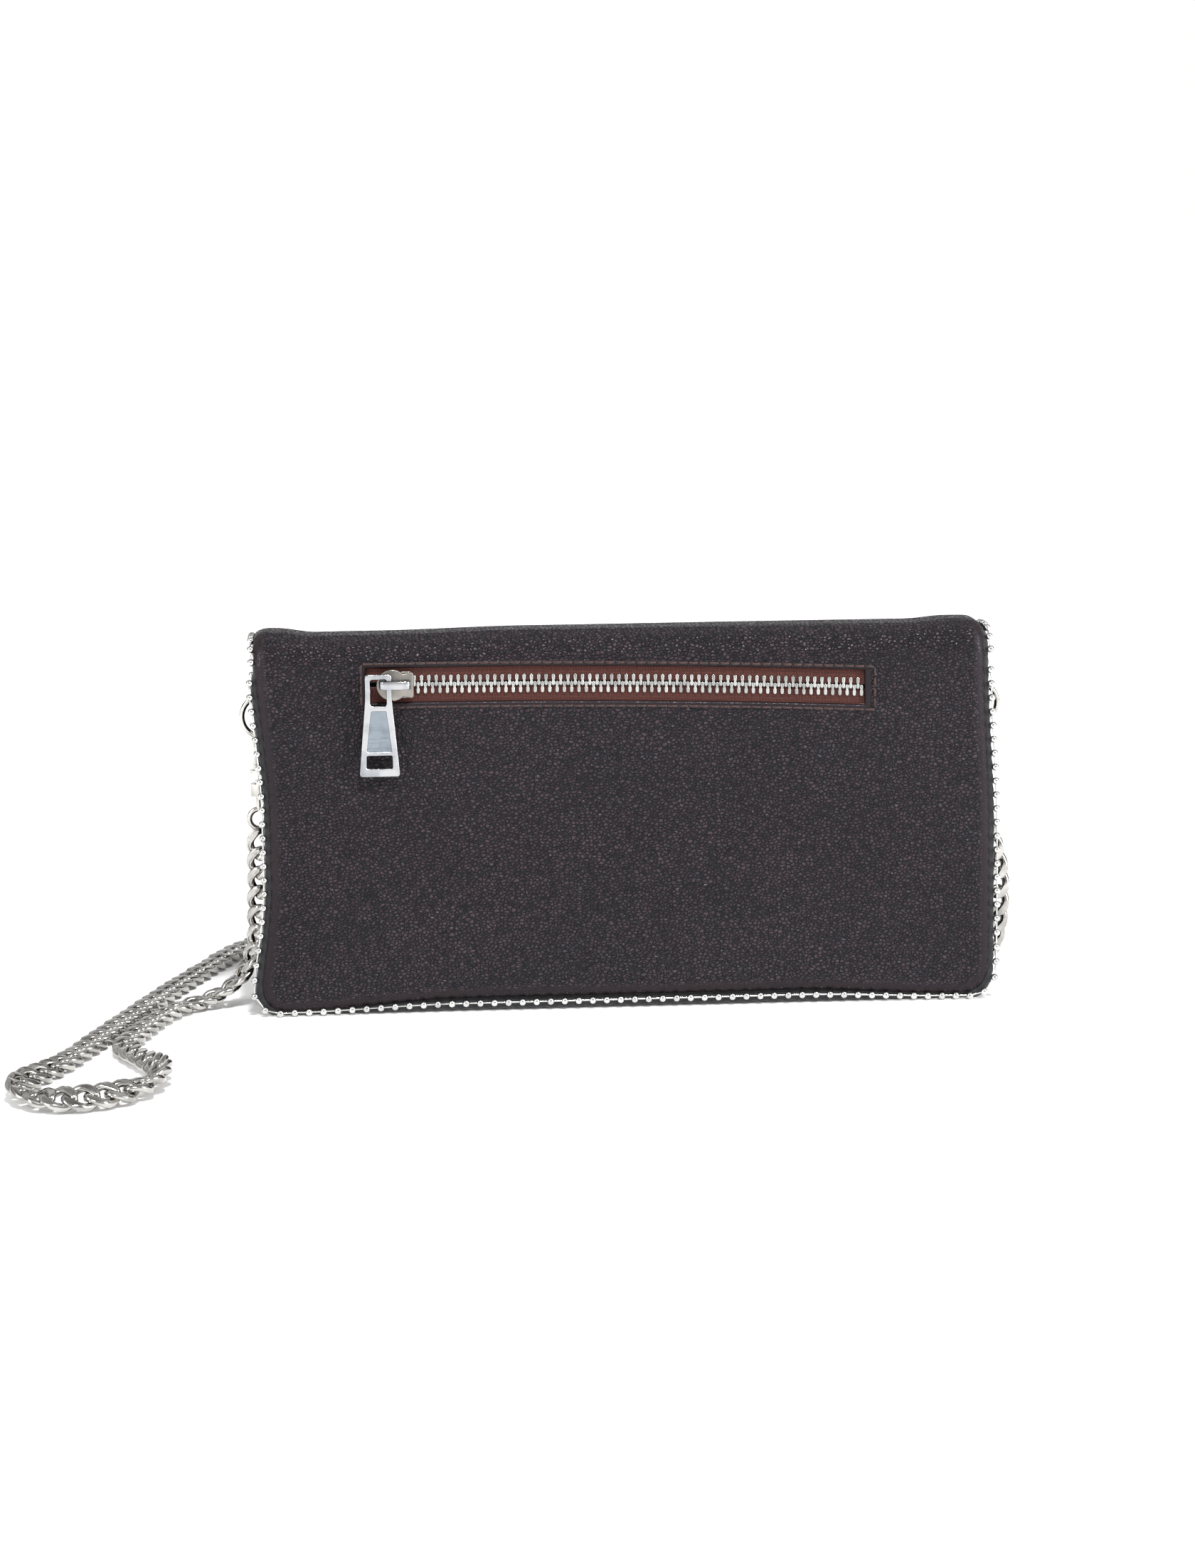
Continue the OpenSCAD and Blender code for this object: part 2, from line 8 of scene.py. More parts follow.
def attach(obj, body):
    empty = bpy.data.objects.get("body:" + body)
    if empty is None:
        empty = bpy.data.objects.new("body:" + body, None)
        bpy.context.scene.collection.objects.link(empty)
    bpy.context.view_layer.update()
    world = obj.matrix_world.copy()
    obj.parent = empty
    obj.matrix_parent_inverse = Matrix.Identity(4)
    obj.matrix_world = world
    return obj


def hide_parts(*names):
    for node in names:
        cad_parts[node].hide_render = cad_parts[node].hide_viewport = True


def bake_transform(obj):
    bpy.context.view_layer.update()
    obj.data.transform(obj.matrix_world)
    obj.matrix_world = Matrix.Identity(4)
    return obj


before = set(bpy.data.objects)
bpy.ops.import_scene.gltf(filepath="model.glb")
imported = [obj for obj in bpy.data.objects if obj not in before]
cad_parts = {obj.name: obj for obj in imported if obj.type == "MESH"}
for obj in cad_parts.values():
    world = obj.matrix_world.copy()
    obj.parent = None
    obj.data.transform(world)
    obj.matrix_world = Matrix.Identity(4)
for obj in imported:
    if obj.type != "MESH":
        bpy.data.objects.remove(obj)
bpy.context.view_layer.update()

MM = 0.001

# ---- helpers


def smoothstep(low, high, value):
    t = min(1.0, max(0.0, (value - low) / (high - low)))
    return t * t * (3 - 2 * t)


def mix(a, b, t):
    return a + (b - a) * t


def steps(start, end, size):
    """Evenly spaced values from start to end, about size apart."""
    count = max(1, round(abs(end - start) / size))
    return [mix(start, end, i / count) for i in range(count + 1)]


def mesh_object(name, points, faces, look, smooth=True, values=None):
    """A mesh from points in millimetres; values is a list of one number per point, kept as edge."""
    mesh = bpy.data.meshes.new(name)
    mesh.from_pydata([Vector(p) * MM for p in points], [], faces)
    mesh.validate()
    if values:
        layer = mesh.attributes.new("edge", "FLOAT", "POINT")
        layer.data.foreach_set("value", values)
    mesh.polygons.foreach_set("use_smooth", [smooth] * len(mesh.polygons))
    mesh.update()
    made = bpy.data.objects.new(name, mesh)
    bpy.context.scene.collection.objects.link(made)
    slot, finish = LOOKS[look]
    made.data.materials.append(finish)
    return made


def outward(made):
    """Turns every face of a closed mesh to point out."""
    bpy.ops.object.select_all(action="DESELECT")
    bpy.context.view_layer.objects.active = made
    made.select_set(True)
    bpy.ops.object.mode_set(mode="EDIT")
    bpy.ops.mesh.select_all(action="SELECT")
    bpy.ops.mesh.normals_make_consistent(inside=False)
    bpy.ops.object.mode_set(mode="OBJECT")
    return made


def apply_modifiers(made):
    """Makes a piece's modifiers part of its mesh."""
    held = bpy.context.evaluated_depsgraph_get()
    held.update()
    made.data = bpy.data.meshes.new_from_object(made.evaluated_get(held))
    made.modifiers.clear()
    return made


def thicken(made, thickness):
    """Gives a sheet its thickness, in millimetres, behind its outer side."""
    rind = made.modifiers.new("Thickness", "SOLIDIFY")
    rind.thickness = thickness * MM
    rind.offset = -1
    return apply_modifiers(made)


def frames_along(path):
    """Each point of a path with two normals, turned as little as possible."""
    found = []
    normal = None
    for i, point in enumerate(path):
        before, after = path[max(i - 1, 0)], path[min(i + 1, len(path) - 1)]
        tangent = (after - before).normalized()
        if normal is None:
            normal = Vector((0, 1, 0)) if abs(tangent.y) < 0.9 else Vector((1, 0, 0))
        normal = (normal - tangent * normal.dot(tangent)).normalized()
        found.append((point, normal, tangent.cross(normal)))
    return found


def tube_parts(path, radius, sides, ridges=0, ridge=0.0, lay=0.0):
    """Points and faces of a tube; ridges, ridge and lay give it the twist of a laid cord."""
    points = []
    walked = 0.0
    before = path[0]
    for centre, u, v in frames_along(path):
        walked += (centre - before).length
        before = centre
        for k in range(sides):
            angle = 2 * math.pi * k / sides
            swell = 1 + ridge * math.cos(ridges * angle + lay * walked)
            points.append(centre + (u * math.cos(angle) + v * math.sin(angle)) * radius * swell)
    return points, ring_faces(sides, len(path))


def join_parts(parts):
    """One list of points and one of faces from several (points, faces) pairs."""
    points, faces = [], []
    for more_points, more_faces in parts:
        base = len(points)
        points += more_points
        faces += [tuple(i + base for i in face) for face in more_faces]
    return points, faces


def grid_faces(width, rows, flipped=False):
    """Faces of a grid of points that is width points wide."""
    faces = []
    for j in range(rows - 1):
        for i in range(width - 1):
            a = j * width + i
            quad = (a, a + 1, a + 1 + width, a + width)
            faces.append(quad[::-1] if flipped else quad)
    return faces


def ring_faces(sides, rings):
    """Faces of a row of rings of points, with an end face on the first and the last."""
    faces = []
    for i in range(rings - 1):
        for k in range(sides):
            a, b = i * sides + k, i * sides + (k + 1) % sides
            faces.append((a, b, b + sides, a + sides))
    last = (rings - 1) * sides
    return faces + [tuple(range(sides - 1, -1, -1)), tuple(range(last, last + sides))]


def stand_for(made, body, *nodes):
    """Lets a piece ride on a body in place of CAD nodes."""
    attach(made, body)
    if nodes:
        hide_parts(*nodes)
    return made


def bend_with_flap(made, *nodes):
    """Bakes a piece's transform into its mesh and hides the CAD nodes it stands in for."""
    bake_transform(made)
    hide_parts(*nodes)


def ball_parts(centre, radius, around, rows):
    points = [centre + Vector((0, 0, radius))]
    for row in range(1, rows):
        polar = math.pi * row / rows
        for k in range(around):
            angle = 2 * math.pi * k / around
            points.append(centre + radius * Vector((
                math.sin(polar) * math.cos(angle), math.sin(polar) * math.sin(angle), math.cos(polar)
            )))
    points.append(centre - Vector((0, 0, radius)))
    last = len(points) - 1
    faces = []
    for k in range(around):
        after = (k + 1) % around
        faces.append((0, 1 + k, 1 + after))
        for row in range(rows - 2):
            a, b = 1 + row * around + k, 1 + row * around + after
            faces.append((a, a + around, b + around, b))
        faces.append((1 + (rows - 2) * around + k, last, 1 + (rows - 2) * around + after))
    return points, faces


# ---- materials


def srgb(text):
    """Linear colour from a hex colour."""
    parts = [int(text[i : i + 2], 16) / 255 for i in (0, 2, 4)]
    return [p / 12.92 if p <= 0.04045 else ((p + 0.055) / 1.055) ** 2.4 for p in parts] + [1]


class Shader:
    """A node material with a Principled shader and object coordinates in metres."""

    def __init__(self, name, **sockets):
        self.material = bpy.data.materials.new(name)
        self.material.use_nodes = True
        self.tree = self.material.node_tree
        self.main = self.tree.nodes["Principled BSDF"]
        self.place = self.tree.nodes.new("ShaderNodeTexCoord").outputs["Object"]
        for socket, value in sockets.items():
            self.main.inputs[socket.replace("_", " ")].default_value = value

    def add(self, kind, settings=None, **inputs):
        made = self.tree.nodes.new(kind)
        for key, value in (settings or {}).items():
            setattr(made, key, value)
        for key, value in inputs.items():
            self.feed(made.inputs[int(key[1:]) if key[1:].isdigit() else key], value)
        return made

    def feed(self, socket, value):
        if isinstance(value, bpy.types.NodeSocket):
            self.tree.links.new(value, socket)
        else:
            socket.default_value = value

    def math(self, operation, a, b=0.0):
        return self.add("ShaderNodeMath", {"operation": operation}, _0=a, _1=b).outputs[0]

    def noise(self, scale, detail=3.0, place=None):
        made = self.add("ShaderNodeTexNoise", Vector=place or self.place, Scale=scale, Detail=detail)
        return made.outputs["Fac"]

    def stretched(self, scale):
        return self.add("ShaderNodeMapping", Vector=self.place, Scale=scale).outputs["Vector"]

    def cells(self, scale, feature, place):
        made = self.add("ShaderNodeTexVoronoi", {"feature": feature}, Vector=place, Scale=scale)
        return made.outputs["Distance"]

    def wave(self, scale, direction, distortion):
        sockets = {"Vector": self.place, "Scale": scale, "Distortion": distortion}
        return self.add("ShaderNodeTexWave", {"bands_direction": direction}, **sockets).outputs["Fac"]

    def blend(self, fac, first, second):
        """A colour that goes from first to second as fac goes from 0 to 1."""
        return self.add("ShaderNodeMix", {"data_type": "RGBA"}, _0=fac, _6=first, _7=second).outputs[2]

    def span(self, value, low, high, to_low, to_high):
        made = self.add("ShaderNodeMapRange", Value=value)
        for key, number in zip(("From Min", "From Max", "To Min", "To Max"), (low, high, to_low, to_high)):
            made.inputs[key].default_value = number
        return made.outputs[0]

    def bump(self, height, depth, strength=1.0, before=None):
        """Bump of a depth in millimetres."""
        made = self.add("ShaderNodeBump", Height=height, Distance=depth * MM, Strength=strength)
        if before is not None:
            self.feed(made.inputs["Normal"], before)
        return made.outputs["Normal"]

    def finish(self, colour, *rest):
        """Feeds the shader its colour and, where given, its roughness and normal."""
        for socket, value in zip(("Base Color", "Roughness", "Normal"), (colour, *rest)):
            self.feed(self.main.inputs[socket], value)
        return self.material


def leather(name, top, painted_valley_shade, border, grain_mm, depth, edge=True):
    """Pebbled leather: domed cells with painted shade in the valleys between them, smooth where edge is 1.
    """
    s = Shader(name, Specular_IOR_Level=0.26, Specular_Tint=(0.84, 0.88, 1.0, 1))
    bent = s.add("ShaderNodeTexNoise", Vector=s.place, Scale=420.0, Detail=2.0).outputs["Color"]
    warped = s.add(
        "ShaderNodeVectorMath", {"operation": "MULTIPLY_ADD"}, _0=bent, _1=(0.6 * MM,) * 3, _2=s.place
    ).outputs[0]
    flat = s.add("ShaderNodeMapping", Vector=warped, Scale=(0.88, 1.0, 1.15)).outputs["Vector"]
    scale = 1 / (grain_mm * MM)
    dome = s.span(s.cells(scale, "DISTANCE_TO_EDGE", flat), 0.0, 0.26, 0.0, 1.0)
    small = s.math("SUBTRACT", 1.0, s.cells(scale * 2.1, "F1", flat))
    height = s.math("ADD", dome, s.math("MULTIPLY", small, 0.3))
    fine = s.noise(3200.0)
    plain = s.add("ShaderNodeAttribute", {"attribute_name": "edge"}).outputs["Fac"]
    grain = s.span(plain, 0.1, 0.9, 1.0, 0.06) if edge else 1.0
    patches = s.span(s.noise(38.0, 2.0), 0.35, 0.65, 0.88, 1.1)
    mottle = s.span(s.noise(560.0, 1.0), 0.36, 0.64, 0.55, 1.5)
    shade = s.math("MULTIPLY", patches, s.math("POWER", mottle, grain))
    # Painted shade: the valleys between the domes are darkened towards the second colour.
    low = s.span(dome, 0.1, 0.95, 1.0, 0.0)
    grain_with_painted_shade = s.blend(low, srgb(top), srgb(painted_valley_shade))
    tone = s.blend(grain, srgb(border), grain_with_painted_shade)
    hue = s.add("ShaderNodeHueSaturation", Color=tone, Value=shade).outputs["Color"]
    rough = s.math("ADD", s.span(dome, 0.2, 1.0, 0.62, 0.24), s.span(fine, 0.3, 0.7, -0.05, 0.05))
    normal = s.bump(height, depth, grain)
    normal = s.bump(fine, 0.012, 0.6, normal)
    return s.finish(hue, rough, normal)


def metal(name, colour, dark, roughness, wear=0.05, scratches=0.0):
    """Plated metal with uneven gloss, and fine scratches where asked for."""
    s = Shader(name, Metallic=1.0)
    cloud = s.noise(420.0, 4.0)
    tone = s.blend(s.span(s.noise(160.0, 2.0), 0.4, 0.7, 0.0, 1.0), srgb(colour), srgb(dark))
    rough = s.span(cloud, 0.3, 0.7, roughness - wear * 0.5, roughness + wear)
    normal = s.bump(cloud, 0.01, 0.35)
    if scratches:
        lines = s.noise(90.0, 6.0, s.stretched((1.0, 1.0, 26.0)))
        cross = s.noise(70.0, 6.0, s.stretched((24.0, 1.0, 3.0)))
        both = s.math("MAXIMUM", s.span(lines, 0.62, 0.66, 0, 1), s.span(cross, 0.64, 0.68, 0, 1))
        normal = s.bump(both, 0.02, scratches, normal)
        rough = s.math("ADD", rough, s.math("MULTIPLY", both, 0.18))
    return s.finish(tone, rough, normal)


def woven(name, colour, dark, thread_mm, depth):
    """Plain weave: two crossed rows of threads, with painted shade in the low places between them."""
    s = Shader(name, Sheen_Weight=0.3, Sheen_Roughness=0.5, Specular_IOR_Level=0.25)
    scale = 1 / (2 * math.pi * thread_mm * MM) * 2
    across, along = s.wave(scale, "X", 0.6), s.wave(scale, "Z", 0.6)
    height = s.math("MULTIPLY", across, along)
    fuzz = s.noise(2600.0, 4.0)
    # Painted shade: the low places of the weave are darkened towards the dark colour; the fuzz specks
    # below are random tone.
    tone = s.blend(s.span(height, 0.1, 0.8, 0.0, 1.0), srgb(dark), srgb(colour))
    tone = s.blend(s.span(fuzz, 0.4, 0.7, 0.0, 0.35), tone, srgb(dark))
    rough = s.span(fuzz, 0.3, 0.7, 0.77, 0.91)
    return s.finish(tone, rough, s.bump(fuzz, 0.03, 0.5, s.bump(height, depth)))


def fibrous(name, colour, light, scale, depth, roughness):
    """Thread, cord, foam or board: soft fibres or grain of one tone with lighter fibres; on the seam
    thread the lighter fibres are painted glints.
    """
    s = Shader(name, Sheen_Weight=0.25, Sheen_Roughness=0.5, Specular_IOR_Level=0.3)
    fibre = s.noise(scale, 5.0, s.stretched((1.0, 1.0, 3.0)))
    spots = s.noise(scale * 0.3, 2.0)
    # The lighter colour is random fibre tone; on the seam thread it is painted glints.
    tone = s.blend(s.span(fibre, 0.4, 0.72, 0.0, 1.0), srgb(colour), srgb(light))
    rough = s.span(spots, 0.3, 0.7, roughness - 0.1, roughness + 0.08)
    return s.finish(tone, rough, s.bump(fibre, depth))


# Each look's finish slot and its material
LOOKS = {
    # In both leathers the second colour is painted shade for the valleys of the grain.
    "leather": ("leather", leather("pebbled_leather", "2f2529", "020102", "190f10", 1.15, 0.42)),
    "smooth_leather": (
        "smooth_leather", leather("smooth_leather", "1c1212", "140c0c", "180f0f", 0.7, 0.05, edge=False)),
    # For the lining and the tape, the second colour is painted shade between the threads and random darker
    # fuzz.
    "lining": ("lining_cloth", woven("lining_cloth", "2a2528", "141114", 0.35, 0.05)),
    "tape": ("zip_tape", woven("zip_tape_weave", "753527", "240b06", 0.5, 0.12)),
    "teeth": ("zip_metal", metal("tooth_nickel", "b4b4b2", "8c8c8a", 0.2, 0.08)),
    "bead": ("bead_metal", metal("bead_nickel", "d2d2d0", "b0b0ae", 0.1, 0.05)),
    "chain": ("chain_metal", metal("chain_nickel", "bab8b4", "8f8d89", 0.14, 0.06)),
    "clasp": ("clasp_metal", metal("clasp_nickel", "c6c4c0", "a5a29d", 0.14, 0.06)),
    "slider": ("slider_metal", metal("slider_nickel", "928e89", "736f6a", 0.3, 0.12, 0.3)),
    "puller": ("puller_metal", metal("puller_chrome", "b0b1b3", "8c8f94", 0.09, 0.05, 0.15)),
    "puller_plate": ("puller_metal", metal("puller_plate", "848c94", "626a74", 0.12, 0.08, 0.6)),
    "magnet": ("magnet_metal", metal("magnet_steel", "b9b9b7", "8f8f8c", 0.3, 0.1, 0.2)),
    # The seam thread's second colour is painted glints on its fibres.
    "thread": ("thread", fibrous("seam_thread", "0c0707", "50261d", 900.0, 0.05, 0.5)),
    "piping": ("piping_cord", fibrous("piping_cord", "0b0c0e", "26282c", 1800.0, 0.08, 0.75)),
    "foam": ("foam", fibrous("foam_padding", "8c8a86", "a5a39f", 1200.0, 0.2, 0.95)),
    "board": ("board", fibrous("stiff_board", "8f7f68", "a3937c", 600.0, 0.05, 0.9)),
}

# ---- camera, floor and light

TARGET = Vector((-0.0082, 0, 0.0709))
AZIMUTH, ELEVATION, ROLL = math.radians(-4.0), math.radians(10.5), math.radians(-0.5)
DISTANCE = 1.0
LENS = 71.5


def add_camera():
    level = math.cos(ELEVATION)
    back = Vector((math.sin(AZIMUTH) * level, -math.cos(AZIMUTH) * level, math.sin(ELEVATION)))
    right = Vector((0, 0, 1)).cross(back).normalized()
    up = back.cross(right)
    turned_right = right * math.cos(ROLL) + up * math.sin(ROLL)
    turned_up = up * math.cos(ROLL) - right * math.sin(ROLL)
    turn = Matrix((turned_right, turned_up, back)).transposed().to_4x4()
    data = bpy.data.cameras.new("Camera")
    data.lens = LENS
    data.sensor_fit = "VERTICAL"
    data.sensor_height = 36
    data.clip_start = 0.01
    camera = bpy.data.objects.new("Camera", data)
    camera.matrix_world = Matrix.Translation(TARGET + back * DISTANCE) @ turn
    bpy.context.scene.collection.objects.link(camera)
    bpy.context.scene.camera = camera


def add_light(name, kind, power, toward):
    data = bpy.data.lights.new(name, kind)
    data.energy = power
    lamp = bpy.data.objects.new(name, data)
    lamp.rotation_euler = Vector(toward).to_track_quat("Z", "Y").to_euler()
    bpy.context.scene.collection.objects.link(lamp)
    return lamp


def add_sun(name, toward, width, power):
    """Even light from a direction, soft by its width in degrees."""
    add_light(name, "SUN", power, toward).data.angle = math.radians(width)


def add_panel(name, place, size, power):
    """A rectangle of light that faces the wallet."""
    lamp = add_light(name, "AREA", power, Vector(place) - Vector((0, 0, 0.05)))
    lamp.location = place
    lamp.data.shape = "RECTANGLE"
    lamp.data.size, lamp.data.size_y = size


def add_world():
    """White at the horizon, with darker bands above for the metal to mirror."""
    world = bpy.data.worlds.new("studio")
    world.use_nodes = True
    tree = world.node_tree
    place = tree.nodes.new("ShaderNodeTexCoord").outputs["Generated"]
    parts = tree.nodes.new("ShaderNodeSeparateXYZ")
    tree.links.new(place, parts.inputs[0])
    ramp = tree.nodes.new("ShaderNodeValToRGB")
    tree.links.new(parts.outputs["Z"], ramp.inputs[0])
    stops = ((0.0, 1.0), (0.24, 1.0), (0.3, 0.22), (0.46, 0.16), (0.52, 0.9), (0.8, 0.75), (1.0, 0.3))
    ramp.color_ramp.elements[0].position = stops[0][0]
    ramp.color_ramp.elements[1].position = stops[-1][0]
    for position, _ in stops[1:-1]:
        ramp.color_ramp.elements.new(position)
    for stop, (_, grey) in zip(ramp.color_ramp.elements, stops):
        stop.color = (grey, grey, grey, 1)
    tree.links.new(ramp.outputs[0], tree.nodes["Background"].inputs["Color"])
    tree.nodes["Background"].inputs["Strength"].default_value = 1.0
    bpy.context.scene.world = world


def add_stage():
    size = 6.0
    mesh = bpy.data.meshes.new("floor")
    corners = [(-size, -size, 0), (size, -size, 0), (size, size, 0), (-size, size, 0)]
    mesh.from_pydata(corners, [], [(0, 1, 2, 3)])
    floor = bpy.data.objects.new("floor", mesh)
    bpy.context.scene.collection.objects.link(floor)
    s = Shader("pale_floor", Roughness=0.9, Specular_IOR_Level=0.1)
    s.finish(s.blend(s.noise(2.0), srgb("fafafa"), srgb("f5f5f5")))
    mesh.materials.append(s.material)
    add_world()
    bpy.context.scene.view_settings.view_transform = "Standard"
    add_sun("overhead", (0.15, -0.6, 1.0), 9, 3.0)
    add_panel("left_panel", (-1.0, -0.75, 0.55), (0.4, 0.9), 9)
    add_panel("right_panel", (1.0, -0.55, 0.5), (0.3, 0.9), 12)


add_camera()
add_stage()

# ---- chain

# The route in part.scad, from the left clasp over the floor to the right clasp, in metres
CHAIN_ROUTE = [
    (-0.1164, 0, 0.057), (-0.1166, 0.0005, 0.047), (-0.117, 0.001, 0.036), (-0.118, 0.001, 0.025),
    (-0.121, 0.001, 0.015), (-0.127, 0.001, 0.007), (-0.135, 0, 0.003), (-0.142, -0.005, 0.0022),
    (-0.147, -0.014, 0.0022), (-0.151, -0.025, 0.0022), (-0.157, -0.05, 0.0022),
    (-0.154, -0.062, 0.0026), (-0.148, -0.074, 0.0034), (-0.144, -0.086, 0.004),
    (-0.146, -0.098, 0.004), (-0.153, -0.108, 0.004), (-0.164, -0.114, 0.004),
    (-0.175, -0.113, 0.004), (-0.183, -0.105, 0.004), (-0.184, -0.094, 0.0034),
    (-0.18, -0.083, 0.0028), (-0.175, -0.072, 0.0024), (-0.17, -0.056, 0.0022),
    (-0.159, -0.02, 0.0022), (-0.147, 0.018, 0.0022), (-0.134, 0.055, 0.0022),
    (-0.126, 0.075, 0.0022), (-0.113, 0.09, 0.0022), (-0.094, 0.097, 0.0022),
    (-0.07, 0.095, 0.0022), (-0.006, 0.076, 0.0022), (0.064, 0.057, 0.0022),
    (0.103, 0.042, 0.0022), (0.113, 0.031, 0.0024), (0.118, 0.02, 0.0046),
    (0.121, 0.01, 0.011), (0.122, 0.004, 0.021), (0.122, 0.001, 0.032), (0.121, 0, 0.043),
    (0.1164, 0, 0.057),
]
LINK_PITCH = 6.4
LINK_HALF_L = 4.45
LINK_HALF_W = 3.2
LINK_WIRE = 1.3
LINK_TWIST = math.radians(42)
LINK_FLAT = 1.45
LINK_SWAY = 0.12
FLOOR_GAP = 0.05

# Which way the chain's flat side faces at some of the route's points
CHAIN_FACING = {
    0: (0, -1, 0), 2: (-0.4, -1, 0), 4: (-1, -0.4, 0.4), 6: (-0.1, 0, 1), 11: (0, 0, 1),
    13: (-0.55, -0.1, 0.8), 16: (0.1, -0.6, 0.8), 19: (0.5, 0, 0.85), 22: (0, 0, 1), 33: (0, 0, 1),
    35: (0, 0.8, 0.6), 37: (0, 1, 0), 39: (0, 1, 0),
}


def curve_through(route, per_leg):
    """A smooth curve through every point of the route, as part.scad draws it."""
    last = len(route) - 1
    found = []
    for i in range(last):
        p0, p1 = route[max(i - 1, 0)], route[i]
        p2, p3 = route[i + 1], route[min(i + 2, last)]
        for k in range(per_leg):
            t = k / per_leg
            found.append(0.5 * (
                2 * p1 + (p2 - p0) * t + (2 * p0 - 5 * p1 + 4 * p2 - p3) * t * t
                + (3 * p1 - p0 - 3 * p2 + p3) * t * t * t
            ))
    return found + [route[last]]


class Walk:
    """Places along a polyline by the distance walked."""

    def __init__(self, points, values):
        self.points, self.values, self.at = points, values, [0.0]
        for a, b in zip(points, points[1:]):
            self.at.append(self.at[-1] + (b - a).length)
        self.length = self.at[-1]

    def place(self, distance):
        distance = min(max(distance, 0.0), self.length)
        i = max(bisect.bisect_left(self.at, distance) - 1, 0)
        t = (distance - self.at[i]) / max(self.at[i + 1] - self.at[i], 1e-9)
        return self.points[i].lerp(self.points[i + 1], t), self.values[i].lerp(self.values[i + 1], t)


def facing_at(index):
    """The facing between two of the named route points."""
    keys = sorted(CHAIN_FACING)
    for low, high in zip(keys, keys[1:]):
        if index <= high:
            t = smoothstep(low, high, index)
            return Vector(CHAIN_FACING[low]).lerp(Vector(CHAIN_FACING[high]), t)


def link_parts(centre, along, facing):
    """One curb link: an oval of wire twisted about its length, with both faces filed flat."""
    around, sides = 32, 10
    across = facing.cross(along).normalized()
    facing = along.cross(across)

    def wire_line(angle):
        x = LINK_HALF_L * math.cos(angle)
        y = LINK_HALF_W * math.sin(angle)
        turn = LINK_TWIST * x / LINK_HALF_L
        return Vector((x, y * math.cos(turn), y * math.sin(turn)))

    points, faces = [], []
    for i in range(around):
        angle = 2 * math.pi * i / around
        middle = wire_line(angle)
        tangent = (wire_line(angle + 0.01) - wire_line(angle - 0.01)).normalized()
        inward = (Vector((0, 0, 1)) - tangent * tangent.z).normalized()
        side = tangent.cross(inward)
        for k in range(sides):
            around_wire = 2 * math.pi * k / sides
            spot = middle + (inward * math.cos(around_wire) + side * math.sin(around_wire)) * LINK_WIRE
            spot.z = min(max(spot.z, -LINK_FLAT), LINK_FLAT)
            place = centre + along * spot.x + across * spot.y + facing * spot.z
            place.z = max(place.z, FLOOR_GAP)
            points.append(place)
            a, b = i * sides + k, i * sides + (k + 1) % sides
            c, d = (i + 1) % around * sides + (k + 1) % sides, (i + 1) % around * sides + k
            faces.append((a, b, c, d))
    return points, faces


def add_chain():
    noise.seed_set(1)
    per_leg = 12
    route = [Vector(p) / MM for p in CHAIN_ROUTE]
    line = curve_through(route, per_leg)
    walk = Walk(line, [facing_at(i / per_leg) for i in range(len(line))])
    count = round(walk.length / LINK_PITCH)
    pitch = walk.length / count
    parts = []
    for i in range(count):
        middle = (i + 0.5) * pitch
        before, _ = walk.place(middle - pitch / 2)
        after, _ = walk.place(middle + pitch / 2)
        _, facing = walk.place(middle)
        along = (after - before).normalized()
        centre = (before + after) / 2
        sway = noise.noise_vector(Vector((i * 0.9, 3.1, 0))) * LINK_SWAY
        facing = (facing.normalized() + sway).normalized()
        parts.append(link_parts(centre, along, facing))
    made = mesh_object("chain_links", *join_parts(parts), "chain")
    stand_for(made, "root", "chain")


add_chain()

# ---- leather skins

HALF_W = 116.5
OUTER_Y = 14.0
FOLD_R = 10.0
FOLD_Y = OUTER_Y - FOLD_R
FOLD_Z = 112.0
BACK_Z0 = 4.6
FLAP_Z0 = 18.0
CORNER_R = 9.0
LEATHER_T = 1.3
FRONT_Y = 8.6
FRONT_TOP = 92.0
FRONT_HALF = 113.5
FRONT_Z0 = 1.2
ZIP_Z = 104.5
ZIP_SLOPE = math.tan(math.radians(1.3))
ZIP_ARCH = 1.0
WINDOW_X = (-81.5, 76.5)
WINDOW_HALF = 5.5
ROLL_REACH = 4.6
ROLL_DEPTH = 2.3
LIP_REACH = 1.1
LIP_DEPTH = 0.9
EDGE_GAPS = (0, 0.12, 0.4, 0.85, 1.5, 2.3, 3.2, 4.4, 6.0, 8.0)
GRID = 2.2
PULLER_ROOM = 24.0
SEAM_AT, SEAM_WIDTH, SEAM_DEPTH = 1.6, 0.45, 0.28


def rounded_distance(x, s, half, length, r):
    """How far a point lies inside a rectangle with round corners; s runs from 0 to length."""
    qx = abs(x) - (half - r)
    qs = abs(s - length / 2) - (length / 2 - r)
    outside = math.hypot(max(qx, 0), max(qs, 0))
    return r - outside - min(max(qx, qs), 0)


def window_distance(x, z):
    """How far a point of the back lies outside the zip window."""
    dx = max(WINDOW_X[0] - x, x - WINDOW_X[1])
    dz = abs(z - ZIP_Z) - WINDOW_HALF
    return math.hypot(max(dx, 0), max(dz, 0)) + min(max(dx, dz), 0)


def rolled(distance, reach, depth):
    """How far a turned edge drops at a distance from it."""
    if distance >= reach:
        return 0.0
    t = 1 - max(distance, 0.0) / reach
    return depth * (1 - math.sqrt(max(0.0, 1 - t * t)))


def spaced(low, high, fixed=()):
    """Values from low to high: close together at both ends and at the fixed values, else GRID apart."""
    marks = {low + gap for gap in EDGE_GAPS} | {high - gap for gap in EDGE_GAPS}
    stops = sorted({low + EDGE_GAPS[-1], high - EDGE_GAPS[-1], *fixed})
    marks |= set(fixed)
    for a, b in zip(stops, stops[1:]):
        marks |= set(steps(a, b, GRID))
    kept = []
    for mark in sorted(marks):
        if not kept or mark - kept[-1] > 0.05:
            kept.append(mark)
    return kept


